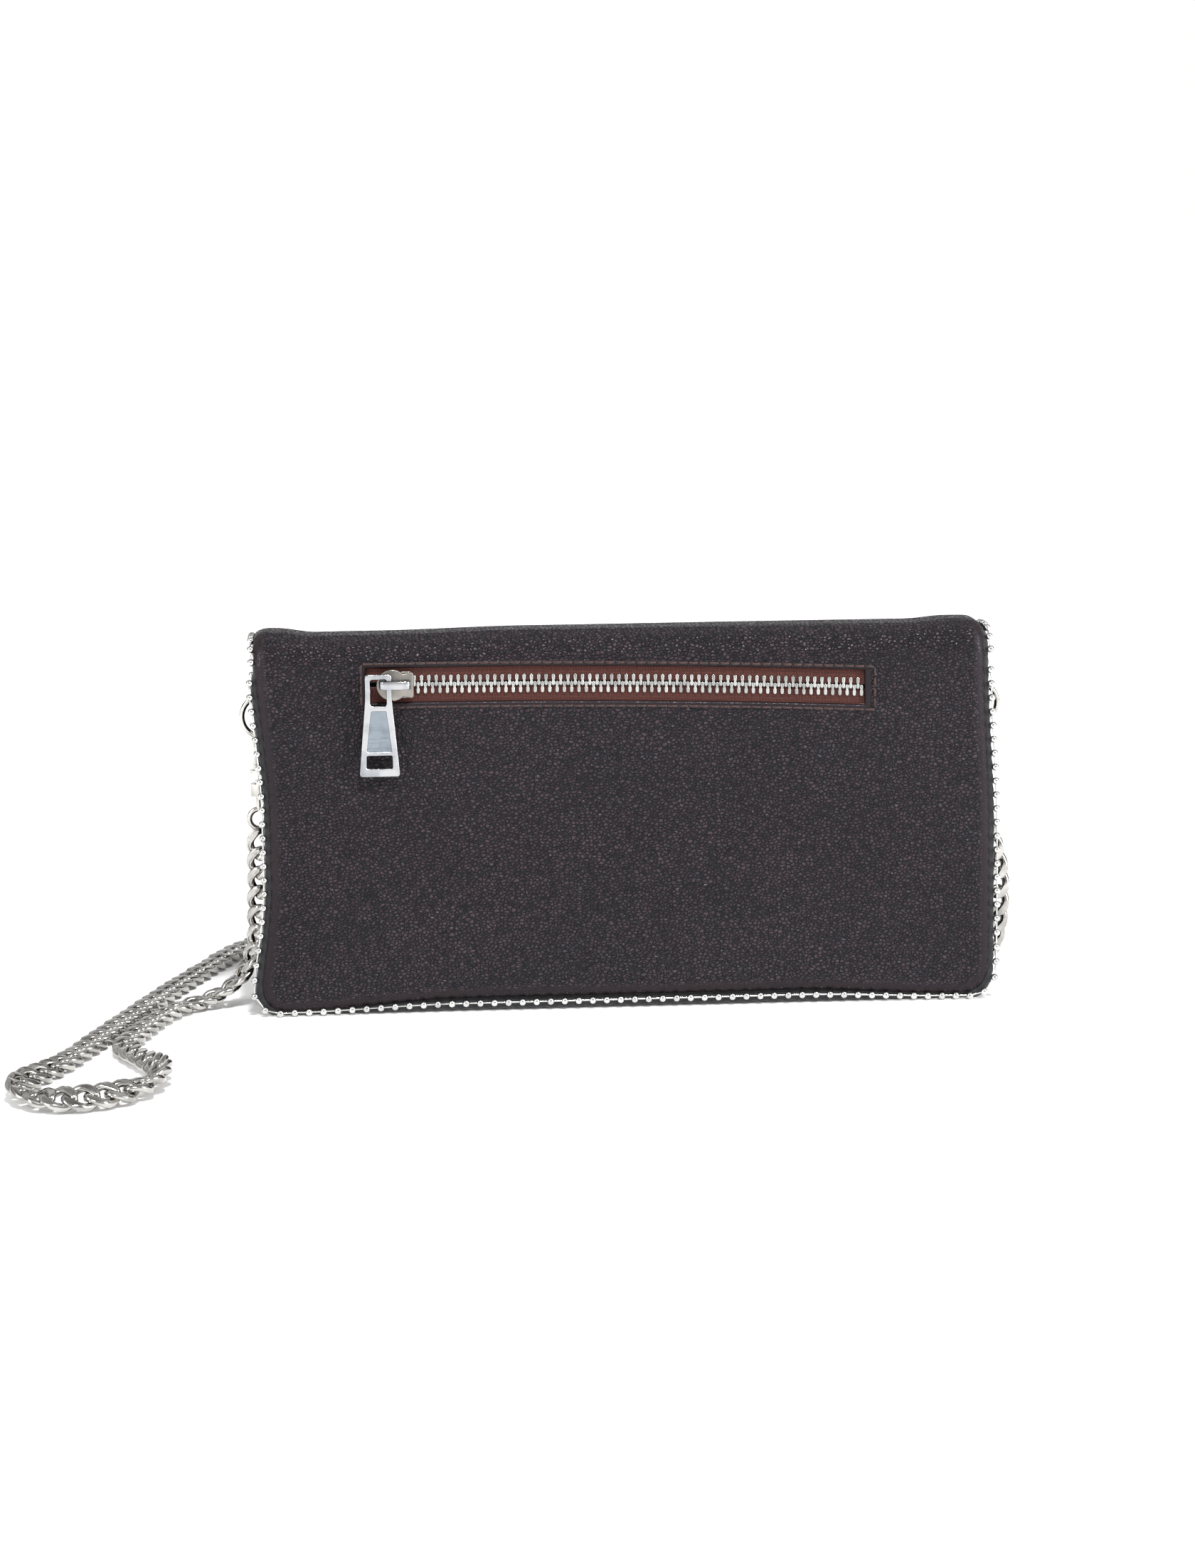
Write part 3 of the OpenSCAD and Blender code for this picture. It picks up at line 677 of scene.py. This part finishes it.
def around_window(low, high):
    """Fixed grid lines at a window edge's two sides and at its row of stitches."""
    gaps = (0, 0.25, 0.6, 1.1, 1.6, 2.1)
    return tuple(low - g for g in gaps) + tuple(high + g for g in gaps)


WALL_L = 2 * (FOLD_Z - BACK_Z0) + FOLD_R * math.pi + 2 * FOLD_Y - (FLAP_Z0 - BACK_Z0)


def wall_profile(s):
    """Place and outward direction in Y and Z along the back, over the fold and down the flap."""
    back = FOLD_Z - BACK_Z0
    middle = back + FOLD_R * math.pi / 2 + FOLD_Y
    face = -1 if s < middle else 1
    t = middle - abs(s - middle)
    if t < back:
        return face * OUTER_Y, BACK_Z0 + t, face, 0.0
    turn = (t - back) / FOLD_R
    if turn < math.pi / 2:
        ny, nz = face * math.cos(turn), math.sin(turn)
        return face * FOLD_Y + FOLD_R * ny, FOLD_Z + FOLD_R * nz, ny, nz
    return s - middle, FOLD_Z + FOLD_R, 0.0, 1.0


def waist(x, z):
    """How far the sides move: drawn in at the left's middle and the right's top, wider at the foot."""
    if x < 0:
        pull = 3.4 * smoothstep(4, 45, z) * smoothstep(118, 66, z) - 1.0 * smoothstep(30, 3, z)
    else:
        pull = 0.9 * smoothstep(100, 20, z) - 2.2 * smoothstep(60, 118, z)
    return pull * (abs(x) / HALF_W) ** 3


def zip_lift(x):
    """The zip runs down to the right, over a low arch."""
    return ZIP_ARCH * max(0.0, 1 - ((x + 3) / 80) ** 2) - x * ZIP_SLOPE


def sag(x, z):
    """How far the lower edge hangs: a little in its middle, more at its corners."""
    left = 3.3 if x < 0 else 2.7
    return (-0.2 - left * smoothstep(55, 108, abs(x))) * smoothstep(34, 2, z)


def undulation(x, y, z, seed):
    """Slow rise and fall of padded leather."""
    broad = noise.noise(Vector((x / 55, z / 40 + seed, y / 30)))
    local = noise.noise(Vector((x / 19 + seed, z / 12, y / 14 + 4.0)))
    return 0.55 * broad + 0.22 * local


def top_shape(x, z):
    """The top edge rises a little at its corners and dips beside them."""
    near_top = smoothstep(108, 120, z)
    left = 0.7 * smoothstep(98, 108, -x) - 0.9 * smoothstep(30, 80, -x) * smoothstep(112, 96, -x)
    right = 1.0 * smoothstep(92, 106, x)
    return (left + right) * near_top


def wall_shape(x, s):
    """A point of the outer skin, with its rolled edges, and its edge value."""
    with_zip = smoothstep(45, 86, s) * smoothstep(132, 110, s) * smoothstep(HALF_W, 92, abs(x))
    y, z, ny, nz = wall_profile(s + zip_lift(x) * with_zip)
    rim = rounded_distance(x, s, HALF_W, WALL_L, CORNER_R)
    drop = rolled(rim, ROLL_REACH, ROLL_DEPTH)
    puff = 1.0 * smoothstep(2, 30, rim)
    ripple = undulation(x, y, z, 0.0) * smoothstep(1, 14, rim)
    plain = smoothstep(4.4, 2.0, rim)
    if s < WALL_L / 2:
        slot = window_distance(x, s + BACK_Z0)
        drop += rolled(slot, LIP_REACH, LIP_DEPTH)
        free = smoothstep(PULLER_ROOM, 2.5 * PULLER_ROOM, slot)
        puff *= free
        ripple *= smoothstep(0, 14, slot) * mix(0.25, 1.0, free)
        drop += SEAM_DEPTH * math.exp(-((slot - SEAM_AT) / SEAM_WIDTH) ** 2)
        plain = max(plain, smoothstep(2.3, 1.5, slot))
    out = (puff + ripple) * mix(1.0, 0.15, smoothstep(106, 116, z)) - drop
    place = Vector((x + waist(x, z), y + ny * out, z + nz * out + sag(x, z) + top_shape(x, z)))
    return place, plain


def skin(name, columns, rows, half, length, r, shape, leave_out):
    """A leather skin on a grid; rows near the ends narrow to give the round corners."""
    points, edge, faces = [], [], []
    for s in rows:
        near = min(s, length - s, r)
        here = half - r + math.sqrt(max(0.0, r * r - (r - near) ** 2))
        for x in columns:
            place, plain = shape(x * here / half, s)
            points.append(place)
            edge.append(plain)
    width = len(columns)
    for j in range(len(rows) - 1):
        for i in range(width - 1):
            if leave_out((columns[i] + columns[i + 1]) / 2, (rows[j] + rows[j + 1]) / 2):
                continue
            a = j * width + i
            faces.append((a, a + 1, a + 1 + width, a + width))
    return mesh_object(name, points, faces, "leather", values=edge)


def add_wall():
    """The one piece of leather that makes the back, the fold and the flap."""
    window_s = (ZIP_Z - WINDOW_HALF - BACK_Z0, ZIP_Z + WINDOW_HALF - BACK_Z0)
    columns = spaced(-HALF_W, HALF_W, around_window(*WINDOW_X))
    rows = spaced(0.0, WALL_L, around_window(*window_s))

    def in_window(x, s):
        return WINDOW_X[0] < x < WINDOW_X[1] and window_s[0] < s < window_s[1]

    made = skin("leather_wall", columns, rows, HALF_W, WALL_L, CORNER_R, wall_shape, in_window)
    thicken(made, LEATHER_T)
    bend_with_flap(made, "back_panel", "top_fold", "flap_panel")


def add_front():
    """The leather of the front compartment, under the flap."""
    length = FRONT_TOP - FRONT_Z0
    r = 3.0

    def front_shape(x, s):
        rim = rounded_distance(x, s, FRONT_HALF, length, r)
        out = 0.3 * smoothstep(2, 25, rim) - rolled(rim, 1.4, 1.0)
        out += 0.4 * undulation(x, FRONT_Y, s, 7.0) * smoothstep(1, 14, rim)
        return Vector((x, FRONT_Y + out, FRONT_TOP - s)), smoothstep(4.4, 2.0, rim)

    columns = spaced(-FRONT_HALF, FRONT_HALF)
    rows = spaced(0.0, length)
    made = skin("leather_front", columns, rows, FRONT_HALF, length, r, front_shape, lambda x, s: False)
    thicken(made, LEATHER_T)
    stand_for(made, "root", "front_panel")


add_wall()
add_front()

# ---- prisms and the zip


def arc(centre, r, start, end, count=8):
    """Points of an arc, in degrees."""
    return [
        (centre[0] + r * math.cos(math.radians(a)), centre[1] + r * math.sin(math.radians(a)))
        for a in steps(start, end, abs(end - start) / count)
    ]


def prism(name, outline, axis, low, high, bevel, look, segments=3):
    """An outline run from low to high along Y or Z, with its edges rounded."""
    count = len(outline)
    points = [(u, w, v) if axis == "y" else (u, v, w) for w in (low, high) for u, v in outline]
    faces = [(i, (i + 1) % count, count + (i + 1) % count, count + i) for i in range(count)]
    faces += [tuple(range(count - 1, -1, -1)), tuple(range(count, 2 * count))]
    made = outward(mesh_object(name, points, faces, look))
    rounding = made.modifiers.new("Rounding", "BEVEL")
    rounding.width = bevel * MM
    rounding.segments = segments
    rounding.limit_method = "ANGLE"
    rounding.angle_limit = math.radians(35)
    return apply_modifiers(made)


def copies(name, template, places, look):
    """One piece made of moved copies of a template, which is then removed."""
    base = [v.co / MM for v in template.data.vertices]
    base_faces = [tuple(p.vertices) for p in template.data.polygons]
    parts = [([p + Vector(place) for p in base], base_faces) for place in places]
    bpy.data.objects.remove(template)
    return mesh_object(name, *join_parts(parts), look)


TAPE_Y = (-12.55, -12.0)
TAPE_X = (-84.5, 81.5)
TAPE_EDGE, TAPE_W = 0.75, 6.9
TOOTH_Y = (-13.4, -11.2)
TOOTH_PITCH = 2.3
TOOTH_REACH = 3.0
TEETH_END = 75
SLIDER_X = -72.5
STOP_X, STOP_HALF_H = (77.3, 80.3), 2.8


def along_zip(made):
    """Bends a piece to the line of the zip."""
    for point in made.data.vertices:
        point.co.z += zip_lift(point.co.x / MM) * MM
    return made


def add_tape(side, node):
    """Woven tape with a thick cord along the teeth and ribs beside it."""
    outline = []
    cord_r = 0.5
    for z, y in arc((TAPE_EDGE + cord_r, (TAPE_Y[0] + TAPE_Y[1]) / 2), cord_r, 60, 300, 8):
        outline.append((y, side * z))
    for z in steps(TAPE_EDGE + 1.6, TAPE_W, 0.5):
        ripple = 0.06 * math.cos(z * 12)
        outline.append((TAPE_Y[0] + ripple, side * z))
    outline += [(TAPE_Y[1], side * TAPE_W), (TAPE_Y[1], side * (TAPE_EDGE + 1.3))]
    points = []
    stations = steps(*TAPE_X, 1.5)
    for x in stations:
        wave = 0.08 * noise.noise(Vector((x / 9, side, 0)))
        points += [Vector((x, y + wave, ZIP_Z + z)) for y, z in outline]
    faces = ring_faces(len(outline), len(stations))
    made = along_zip(outward(mesh_object(node + "_weave", points, faces, "tape")))
    stand_for(made, "root", node)


def add_teeth(side, node):
    """Metal teeth: each has a leg that grips the tape and a rounded head that meshes."""
    leg, neck, head = 0.56, 0.4, 0.55
    outline = arc((0, TOOTH_REACH - leg), leg, 0, 180, 8)
    outline += [(-leg, 1.5), (-neck, 1.1), (-neck, 0.8), (-head, 0.45)]
    outline += arc((0, -0.15), head, 180, 360, 8)
    outline += [(head, 0.45), (neck, 0.8), (neck, 1.1), (leg, 1.5)]
    outline = [(u, side * v) for u, v in outline]
    template = prism("tooth", outline, "y", *TOOTH_Y, 0.25, "teeth", 3)
    first = SLIDER_X - 2 + (TOOTH_PITCH / 2 if side > 0 else 0)
    count = int((TEETH_END - first) / TOOTH_PITCH) + 1
    places = [(first + i * TOOTH_PITCH, 0, ZIP_Z) for i in range(count)]
    made = along_zip(copies(node + "_cast", template, places, "teeth"))
    stand_for(made, "root", node)


def add_stops():
    box = [(-0.6, -1), (0.6, -1), (0.6, 1), (-0.6, 1)]
    template = prism("stop", box, "y", *TOOTH_Y, 0.3, "teeth")
    places = [(SLIDER_X - 8.2, 0, ZIP_Z + z) for z in (-1.9, 1.9)]
    top = along_zip(copies("zip_stops_left", template, places, "teeth"))
    stand_for(top, "root", "zip_top_stops")
    z0, z1 = ZIP_Z - STOP_HALF_H, ZIP_Z + STOP_HALF_H
    wide = [(STOP_X[0], z0), (STOP_X[1], z0), (STOP_X[1], z1), (STOP_X[0], z1)]
    end = along_zip(prism("zip_stop_right", wide, "y", TAPE_Y[0], TOOTH_Y[1], 0.4, "teeth"))
    stand_for(end, "root", "zip_bottom_stop")


def stitch_parts(start, along, length):
    """One stitch: a short thread that rises out of the leather and goes back in."""
    line = []
    for t in steps(0, 1, 0.125):
        rise = math.sin(math.pi * t) ** 0.6
        line.append(start + along * (t * length) + Vector((0, 0.3 - 0.6 * rise, 0)))
    return tube_parts(line, 0.34, 8)


def add_stitching():
    gap, pitch, length, sunk = SEAM_AT, 3.3, 2.5, 0.15
    x0, x1 = WINDOW_X[0] - gap, WINDOW_X[1] + gap + 1
    z0, z1 = ZIP_Z - WINDOW_HALF, ZIP_Z + WINDOW_HALF
    parts = []
    for z in (z0 - gap, z1 + gap - 0.4):
        for i in range(int((x1 - x0) / pitch)):
            start = Vector((x0 + 1 + i * pitch, -OUTER_Y + sunk, z))
            parts.append(stitch_parts(start, Vector((1, 0, 0)), length))
    for x in (x0, x1):
        for i in range(4):
            start = Vector((x, -OUTER_Y + sunk, z0 - 0.6 + i * pitch))
            parts.append(stitch_parts(start, Vector((0, 0, 1)), length))
    made = along_zip(mesh_object("window_stitches", *join_parts(parts), "thread"))
    stand_for(made, "root", "zip_stitching")


for half, word in ((1, "upper"), (-1, "lower")):
    add_tape(half, "zip_tape_" + word)
    add_teeth(half, "zip_teeth_" + word)
add_stops()
add_stitching()

# ---- slider and puller


SLIDER_HALF_L, SHOULDER_R, MOUTH = 5.85, 5.0, 4.2
SLIDER_FRONT, SLIDER_REAR = (-15.0, -13.7), (-10.9, -10.1)


def slider_outline(shrink):
    """A round shoulder on the left and a flared mouth on the right."""
    left = SLIDER_X - SLIDER_HALF_L + SHOULDER_R
    mouth = MOUTH - shrink
    upper = arc((left, 0), SHOULDER_R - shrink, 180, 58, 10)
    upper += [(left + 3.4, 3.5 - shrink), (SLIDER_X + 5.2, mouth)]
    upper += [(SLIDER_X + SLIDER_HALF_L - shrink, mouth - 0.5)]
    lower = [(u, -v) for u, v in reversed(upper[1:])]
    return [(u, ZIP_Z + v) for u, v in upper + lower]


def add_slider():
    front = prism("slider_top_plate", slider_outline(0), "y", *SLIDER_FRONT, 0.45, "slider", 4)
    rear = prism("slider_rear_plate", slider_outline(0.3), "y", *SLIDER_REAR, 0.25, "slider")
    taper = ((-5.25, -0.8), (-3.45, -0.5), (-3.45, 0.5), (-5.25, 0.8))
    inside = [(SLIDER_X + u, ZIP_Z + v) for u, v in taper]
    wedge = prism("slider_wedge", inside, "y", -13.8, -10.8, 0.2, "slider")
    for made in (front, rear, wedge):
        stand_for(along_zip(made), "slider", "slider_body")
    for side in (-1, 1):
        low, high = sorted((ZIP_Z + side * 3.25, ZIP_Z + side * 4.15))
        x1 = SLIDER_X + 5.1
        wall = [(SLIDER_X, low), (x1, low), (x1, high), (SLIDER_X, high)]
        name = "slider_flange_" + ("upper" if side > 0 else "lower")
        flange = prism(name, wall, "y", -13.8, -12.85, 0.2, "slider")
        stand_for(along_zip(flange), "slider")
    outer = [(-5, -14.9)] + arc((-3.2, -16.9), 1.8, 180, 270, 6)
    outer += arc((3.2, -16.9), 1.8, 270, 360, 6) + [(5, -14.9)]
    inner = [(4.1, -14.9)] + arc((2.9, -16.7), 1.2, 0, -90, 6)
    inner += arc((-2.9, -16.7), 1.2, 270, 180, 6) + [(-4.1, -14.9)]
    outline = [(SLIDER_X + u, v) for u, v in outer + inner]
    bridge = prism("slider_arch", outline, "z", ZIP_Z - 0.9, ZIP_Z + 1.7, 0.3, "puller", 4)
    stand_for(along_zip(bridge), "slider", "slider_bridge")


def round_outline(corners, r):
    """A closed outline with each corner rounded by r."""
    found = []
    count = len(corners)
    for i, corner in enumerate(corners):
        here = Vector(corner)
        before = (Vector(corners[i - 1]) - here).normalized()
        after = (Vector(corners[(i + 1) % count]) - here).normalized()
        for t in (0, 0.25, 0.5, 0.75, 1):
            found.append(tuple(here + before * r * (1 - t) ** 2 + after * r * t**2))
    return found


def flat_shape(name, outlines, y, thickness, bevel, look):
    """A flat piece standing in X and Z, with the second and later outlines as holes."""
    data = bpy.data.curves.new(name, "CURVE")
    data.dimensions = "2D"
    data.fill_mode = "BOTH"
    data.extrude = (thickness / 2 - bevel) * MM
    data.bevel_depth = bevel * MM
    data.bevel_resolution = 3
    data.offset = -bevel * MM
    for outline in outlines:
        line = data.splines.new("POLY")
        line.points.add(len(outline) - 1)
        for point, (u, v) in zip(line.points, outline):
            point.co = (u * MM, v * MM, 0, 1)
        line.use_cyclic_u = True
    shape = bpy.data.objects.new(name, data)
    bpy.context.scene.collection.objects.link(shape)
    held = bpy.context.evaluated_depsgraph_get()
    mesh = bpy.data.meshes.new_from_object(shape.evaluated_get(held))
    bpy.data.objects.remove(shape)
    points = [Vector((v.co.x / MM, y - v.co.z / MM, v.co.y / MM)) for v in mesh.vertices]
    faces = [tuple(p.vertices) for p in mesh.polygons]
    return outward(mesh_object(name, points, faces, look, smooth=False))


def spread(low_half, high_half, heights):
    """Corners of a window that is wider or narrower at its foot."""
    low, high = heights
    return [(-low_half, low), (low_half, low), (high_half, high), (-high_half, high)]


PULLER_Y = -16.6


def add_puller():
    mid, top = SLIDER_X - 5.25, ZIP_Z + 3.8
    low = top - 32.4
    loop_z, slot_z, plate_z = (top - 10.0, top - 1.6), (low + 2.6, low + 6.7), (low + 7.9, top - 11.6)
    outer = round_outline([
        (mid - 6.4, low), (mid + 6.4, low), (mid + 4.15, plate_z[1] + 4), (mid + 4.15, top),
        (mid - 4.15, top), (mid - 4.15, plate_z[1] + 4),
    ], 1.1)
    loop = round_outline([(mid + u, z) for u, z in spread(2.55, 2.55, loop_z)], 0.9)
    plate = round_outline([(mid + u, z) for u, z in spread(3.9, 2.35, plate_z)], 0.5)
    slot = round_outline([(mid + u, z) for u, z in spread(4.1, 4.0, slot_z)], 0.5)
    rim = flat_shape("puller_frame", [outer, loop, plate, slot], PULLER_Y, 1.2, 0.3, "puller")
    inner = flat_shape("puller_inlay", [plate], PULLER_Y + 0.2, 0.8, 0.05, "puller_plate")
    for made in (rim, inner):
        stand_for(along_zip(made), "puller", "puller")


def add_foam():
    """The padding behind the back's leather, well inside its rolled edges."""
    half, low, high = 109.0, 10.0, FOLD_Z
    pad = round_outline([(-half, low), (half, low), (half, high), (-half, high)], 8.0)
    hole = round_outline([
        (TAPE_X[0] - 0.2, ZIP_Z - 7.0), (TAPE_X[1] + 0.2, ZIP_Z - 7.0),
        (TAPE_X[1] + 0.2, FOLD_Z - 0.2), (TAPE_X[0] - 0.2, FOLD_Z - 0.2),
    ], 1.0)
    made = flat_shape("foam_padding", [pad, hole], -11.8, 1.5, 0.3, "foam")
    stand_for(made, "root", "back_foam")


add_foam()
add_slider()
add_puller()

# ---- piping and beads

PIPE_X, PIPE_Y, PIPE_R = 116.2, 10.5, 1.9
PIPE_CORNER = 8.0
STRAND_SWELL = 0.07
PIPE_Z0 = {"back": 2.0, "flap": 19.0}
BEAD_R, BEAD_PITCH, BEAD_REACH = 1.2, 4.5, 3.13
SIDE_LEAN, BASE_LEAN = 38.0, 105.0


def trim_length(z0):
    return 2 * (FOLD_Z - z0 - PIPE_CORNER) + math.pi * PIPE_CORNER + 2 * (PIPE_X - PIPE_CORNER)


def trim_place(s, z0):
    """X, Z, turn in degrees and side at a distance along the piping from its left top."""
    side_l = FOLD_Z - z0 - PIPE_CORNER
    turn_l = math.pi * PIPE_CORNER / 2
    total = trim_length(z0)
    sign = -1 if s <= total / 2 else 1
    t = min(s, total - s)
    if t < side_l:
        return sign * PIPE_X, FOLD_Z - t, 0.0, sign
    if t < side_l + turn_l:
        turn = (t - side_l) / PIPE_CORNER
        x = PIPE_X - PIPE_CORNER + PIPE_CORNER * math.cos(turn)
        return sign * x, z0 + PIPE_CORNER - PIPE_CORNER * math.sin(turn), math.degrees(turn), sign
    return sign * (PIPE_X - PIPE_CORNER - (t - side_l - turn_l)), z0, 90.0, sign


def bead_place(s, z0, face, low_lean):
    x, z, turn, sign = trim_place(s, z0)
    lean = math.radians(mix(SIDE_LEAN, low_lean, turn / 90))
    out = BEAD_REACH * math.cos(lean)
    around = math.radians(turn)
    return Vector((
        x + sign * out * math.cos(around),
        face * (PIPE_Y + BEAD_REACH * math.sin(lean)),
        z - out * math.sin(around),
    ))


def trim_sag(place, z0):
    """The trim follows the leather's waist, and that of the back follows its lower edge too."""
    lift = 0.2 - 1.6 * smoothstep(55, 108, abs(place.x)) if z0 < FLAP_Z0 else 0.0
    lowered = place.z + lift * smoothstep(30, 2, place.z)
    tucked = 1.3 * smoothstep(104, 114, place.z) if place.x < 0 else 0.0
    shifted = place.x + waist(place.x, place.z) + tucked
    return Vector((shifted, place.y, max(lowered, BEAD_R + 0.05)))


def piping_mesh(name, line):
    return mesh_object(name, *tube_parts(line, PIPE_R, 14, 3, STRAND_SWELL, 1.5), "piping")


def bead_mesh(name, places):
    """Beads on a thin wire, which shows between them."""
    parts = [ball_parts(place, BEAD_R, 16, 9) for place in places]
    return mesh_object(name, *join_parts(parts + [tube_parts(places, 0.28, 8)]), "bead")


def add_trim(word, face, body, low_lean):
    z0 = PIPE_Z0[word]
    total = trim_length(z0)
    line = []
    for s in steps(0, total, 0.7):
        x, z, _, _ = trim_place(s, z0)
        place = trim_sag(Vector((x, face * PIPE_Y, z)), z0)
        line.append(Vector((place.x, place.y, max(place.z, PIPE_R * (1 + STRAND_SWELL) + 0.06))))
    stand_for(piping_mesh("piping_cord_" + word, line), body, "piping_" + word)
    count = int((total - BEAD_PITCH) / BEAD_PITCH)
    start = (total - (count - 1) * BEAD_PITCH) / 2
    places = [
        trim_sag(bead_place(start + i * BEAD_PITCH, z0, face, low_lean), z0) for i in range(count)
    ]
    stand_for(bead_mesh("bead_strand_" + word, places), body, "beads_" + word)


def fold_path(reach, turn_step, flat_step):
    """Y and Z over the fold at a reach from its centres."""
    back = [
        (-FOLD_Y - reach * math.cos(math.radians(a)), FOLD_Z + reach * math.sin(math.radians(a)))
        for a in steps(0, 90, turn_step)
    ]
    across = [(y, FOLD_Z + reach) for y in steps(-FOLD_Y, FOLD_Y, flat_step)[1:-1]]
    return back + across + [(-y, z) for y, z in reversed(back)]


def add_fold_trim():
    crown_y = 2.2
    bend = PIPE_Y - FOLD_Y
    reach = bend + BEAD_REACH * math.sin(math.radians(SIDE_LEAN))
    out = PIPE_X + BEAD_REACH * math.cos(math.radians(SIDE_LEAN))
    half = [
        (FOLD_Y + reach * math.cos(math.radians(a)), FOLD_Z + reach * math.sin(math.radians(a)))
        for a in (14, 44, 74)
    ] + [(crown_y, FOLD_Z + reach)]
    beads = [(-y, z) for y, z in half] + half[::-1]
    for side, word in ((-1, "left"), (1, "right")):
        line = [trim_sag(Vector((side * PIPE_X, y, z)), FLAP_Z0) for y, z in fold_path(bend, 6, 0.8)]
        places = [trim_sag(Vector((side * out, y, z)), FLAP_Z0) for y, z in beads]
        bend_with_flap(piping_mesh("piping_cord_fold_" + word, line), "piping_fold")
        bend_with_flap(bead_mesh("bead_strand_fold_" + word, places), "beads_fold")


add_trim("back", -1, "root", BASE_LEAN)
add_trim("flap", 1, "flap", SIDE_LEAN)
add_fold_trim()

# ---- inside


CLOTH_T = 0.55
LINING_HALF = 113.4
LINING_Z0 = 1.4
BACK_LINING_Y, FRONT_LINING_Y = -7.8, 5.6
CARD_Y = -0.6


def add_cloth(node, y, half, z0, z1, facing, body):
    """A lining panel with a turned hem along its upper edge; facing is the side that shows."""
    hem_low, hem_high, hem_t = z1 - 3.2, z1 - 3.0, 0.35
    points = []
    columns = steps(-half, half, 3.0)
    rows = [z for z in steps(z0, z1, 3.0) if z < z1 - 3.5] + [hem_low, hem_high, z1 - 1.5, z1 - 0.3, z1]
    for z in rows:
        hemmed = hem_t * smoothstep(hem_low, hem_high, z)
        for x in columns:
            calm = smoothstep(0, 12, half - abs(x)) * smoothstep(0, 14, z - z0)
            wrinkle = 0.28 * noise.noise(Vector((x / 24, z / 33, y))) * calm
            points.append(Vector((x, y + facing * (wrinkle - abs(wrinkle) + hemmed), z)))
    faces = grid_faces(len(columns), len(rows), flipped=facing > 0)
    made = thicken(mesh_object(node + "_cloth", points, faces, "lining"), CLOTH_T)
    stand_for(made, body, node)


def add_fold_lining():
    """The lining under the fold, curved along it."""
    half, reach = 113.5, FOLD_R - 2.0
    line = fold_path(reach, 9, 1.6)
    columns = steps(-half, half, 4.0)
    points = [Vector((x, y, z)) for y, z in line for x in columns]
    faces = grid_faces(len(columns), len(line), flipped=True)
    made = thicken(mesh_object("fold_lining_cloth", points, faces, "lining"), 0.5)
    bend_with_flap(made, "fold_lining")


def add_card_slots():
    """Three stepped pockets with two rows of stitches that divide them."""
    half, z0, step_t, thread_r = 101.0, LINING_Z0, 0.5, 0.22
    tops = (64.0, 52.0, 40.0)
    for i, top in enumerate(tops):
        y = CARD_Y + i * step_t
        outline = round_outline([(-half, z0), (half, z0), (half, top), (-half, top)], 2.0)
        panel = prism(f"card_pocket_{i + 1}", outline, "y", y, y + step_t, 0.2, "smooth_leather")
        stand_for(panel, "root", "card_slots")
    parts = []
    for x in (-half / 3, half / 3):
        for z in steps(6, 58, 3.4):
            y = CARD_Y + 0.05 + step_t * sum(z < top for top in tops)
            line = [Vector((x, y, z)), Vector((x, y + 0.1, z + 1.2)), Vector((x, y, z + 2.4))]
            parts.append(tube_parts(line, thread_r, 8))
    stand_for(mesh_object("card_pocket_stitches", *join_parts(parts), "thread"), "root")


def add_gusset(side, node):
    """A side strip folded inward like a V, with a slight wave along its height."""
    fold_in, thickness, cut_width = 5.0, 0.8, 16.8
    points = []
    rows = steps(FRONT_Z0, FRONT_TOP, 3.0)
    across = steps(0, 1, 1 / 16)
    for z in rows:
        wave = 0.25 * noise.noise(Vector((z / 17, side * 3.0, 0)))
        for t in across:
            inward = fold_in * (1 - abs(2 * t - 1) ** 1.25) + wave * math.sin(math.pi * t)
            y = mix(BACK_LINING_Y, FRONT_LINING_Y, t)
            points.append(Vector((side * (FRONT_HALF - inward), y, z)))
    faces = grid_faces(len(across), len(rows), flipped=side < 0)
    made = mesh_object(node + "_leather", points, faces, "smooth_leather")
    thicken(made, thickness)
    stand_for(made, "root", node)


def add_base():
    y0, y1 = -8.4, FRONT_Y
    corners = [(-FRONT_HALF, y0), (FRONT_HALF, y0), (FRONT_HALF, y1), (-FRONT_HALF, y1)]
    outline = round_outline(corners, 1.5)
    made = prism("base_leather", outline, "z", 0.0, FRONT_Z0, 0.35, "smooth_leather")
    stand_for(made, "root", "base_strip")


def add_tab(side, node):
    """A leather tab that wraps round the ring's bar and runs into the gusset."""
    bar_x, wrap_r, tail_x, neck_x, half_t = 113.2, 1.65, 110.3, 111.9, 1.0
    tab_z = (90.8, 99.2)
    wrap = arc((bar_x, 0), wrap_r, 143, -143, 16)
    outline = [(tail_x, half_t), (neck_x, half_t)] + wrap + [(neck_x, -half_t), (tail_x, -half_t)]
    outline = [(side * u, v) for u, v in outline]
    made = prism(node + "_leather", outline, "z", *tab_z, 0.3, "smooth_leather")
    stand_for(made, "root", node)


add_cloth("back_lining", BACK_LINING_Y, LINING_HALF, LINING_Z0, FOLD_Z, 1, "root")
add_cloth("front_lining", FRONT_LINING_Y, LINING_HALF, LINING_Z0, FRONT_TOP, -1, "root")
add_cloth("flap_lining", 11.2, 113.0, 22.0, 111.0, -1, "flap")
add_cloth("divider", -1.5, 107.0, LINING_Z0, 90.0, -1, "root")
add_fold_lining()
add_card_slots()
add_base()
for side, word in ((-1, "left"), (1, "right")):
    add_gusset(side, "gusset_" + word)
    add_tab(side, "ring_tab_" + word)

# ---- pieces kept from the CAD model

KEPT = {
    "pocket_lining": "lining", "back_board": "board", "front_board": "board",
    "flap_board": "board", "magnet_socket": "magnet", "magnet_stud": "magnet", "tab_rivets": "clasp",
}
for word in ("left", "right"):
    for part in ("ring", "hook", "gate", "swivel"):
        KEPT[part + "_" + word] = "clasp"
for node, look in KEPT.items():
    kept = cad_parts[node]
    kept.data.materials.clear()
    kept.data.materials.append(LOOKS[look][1])
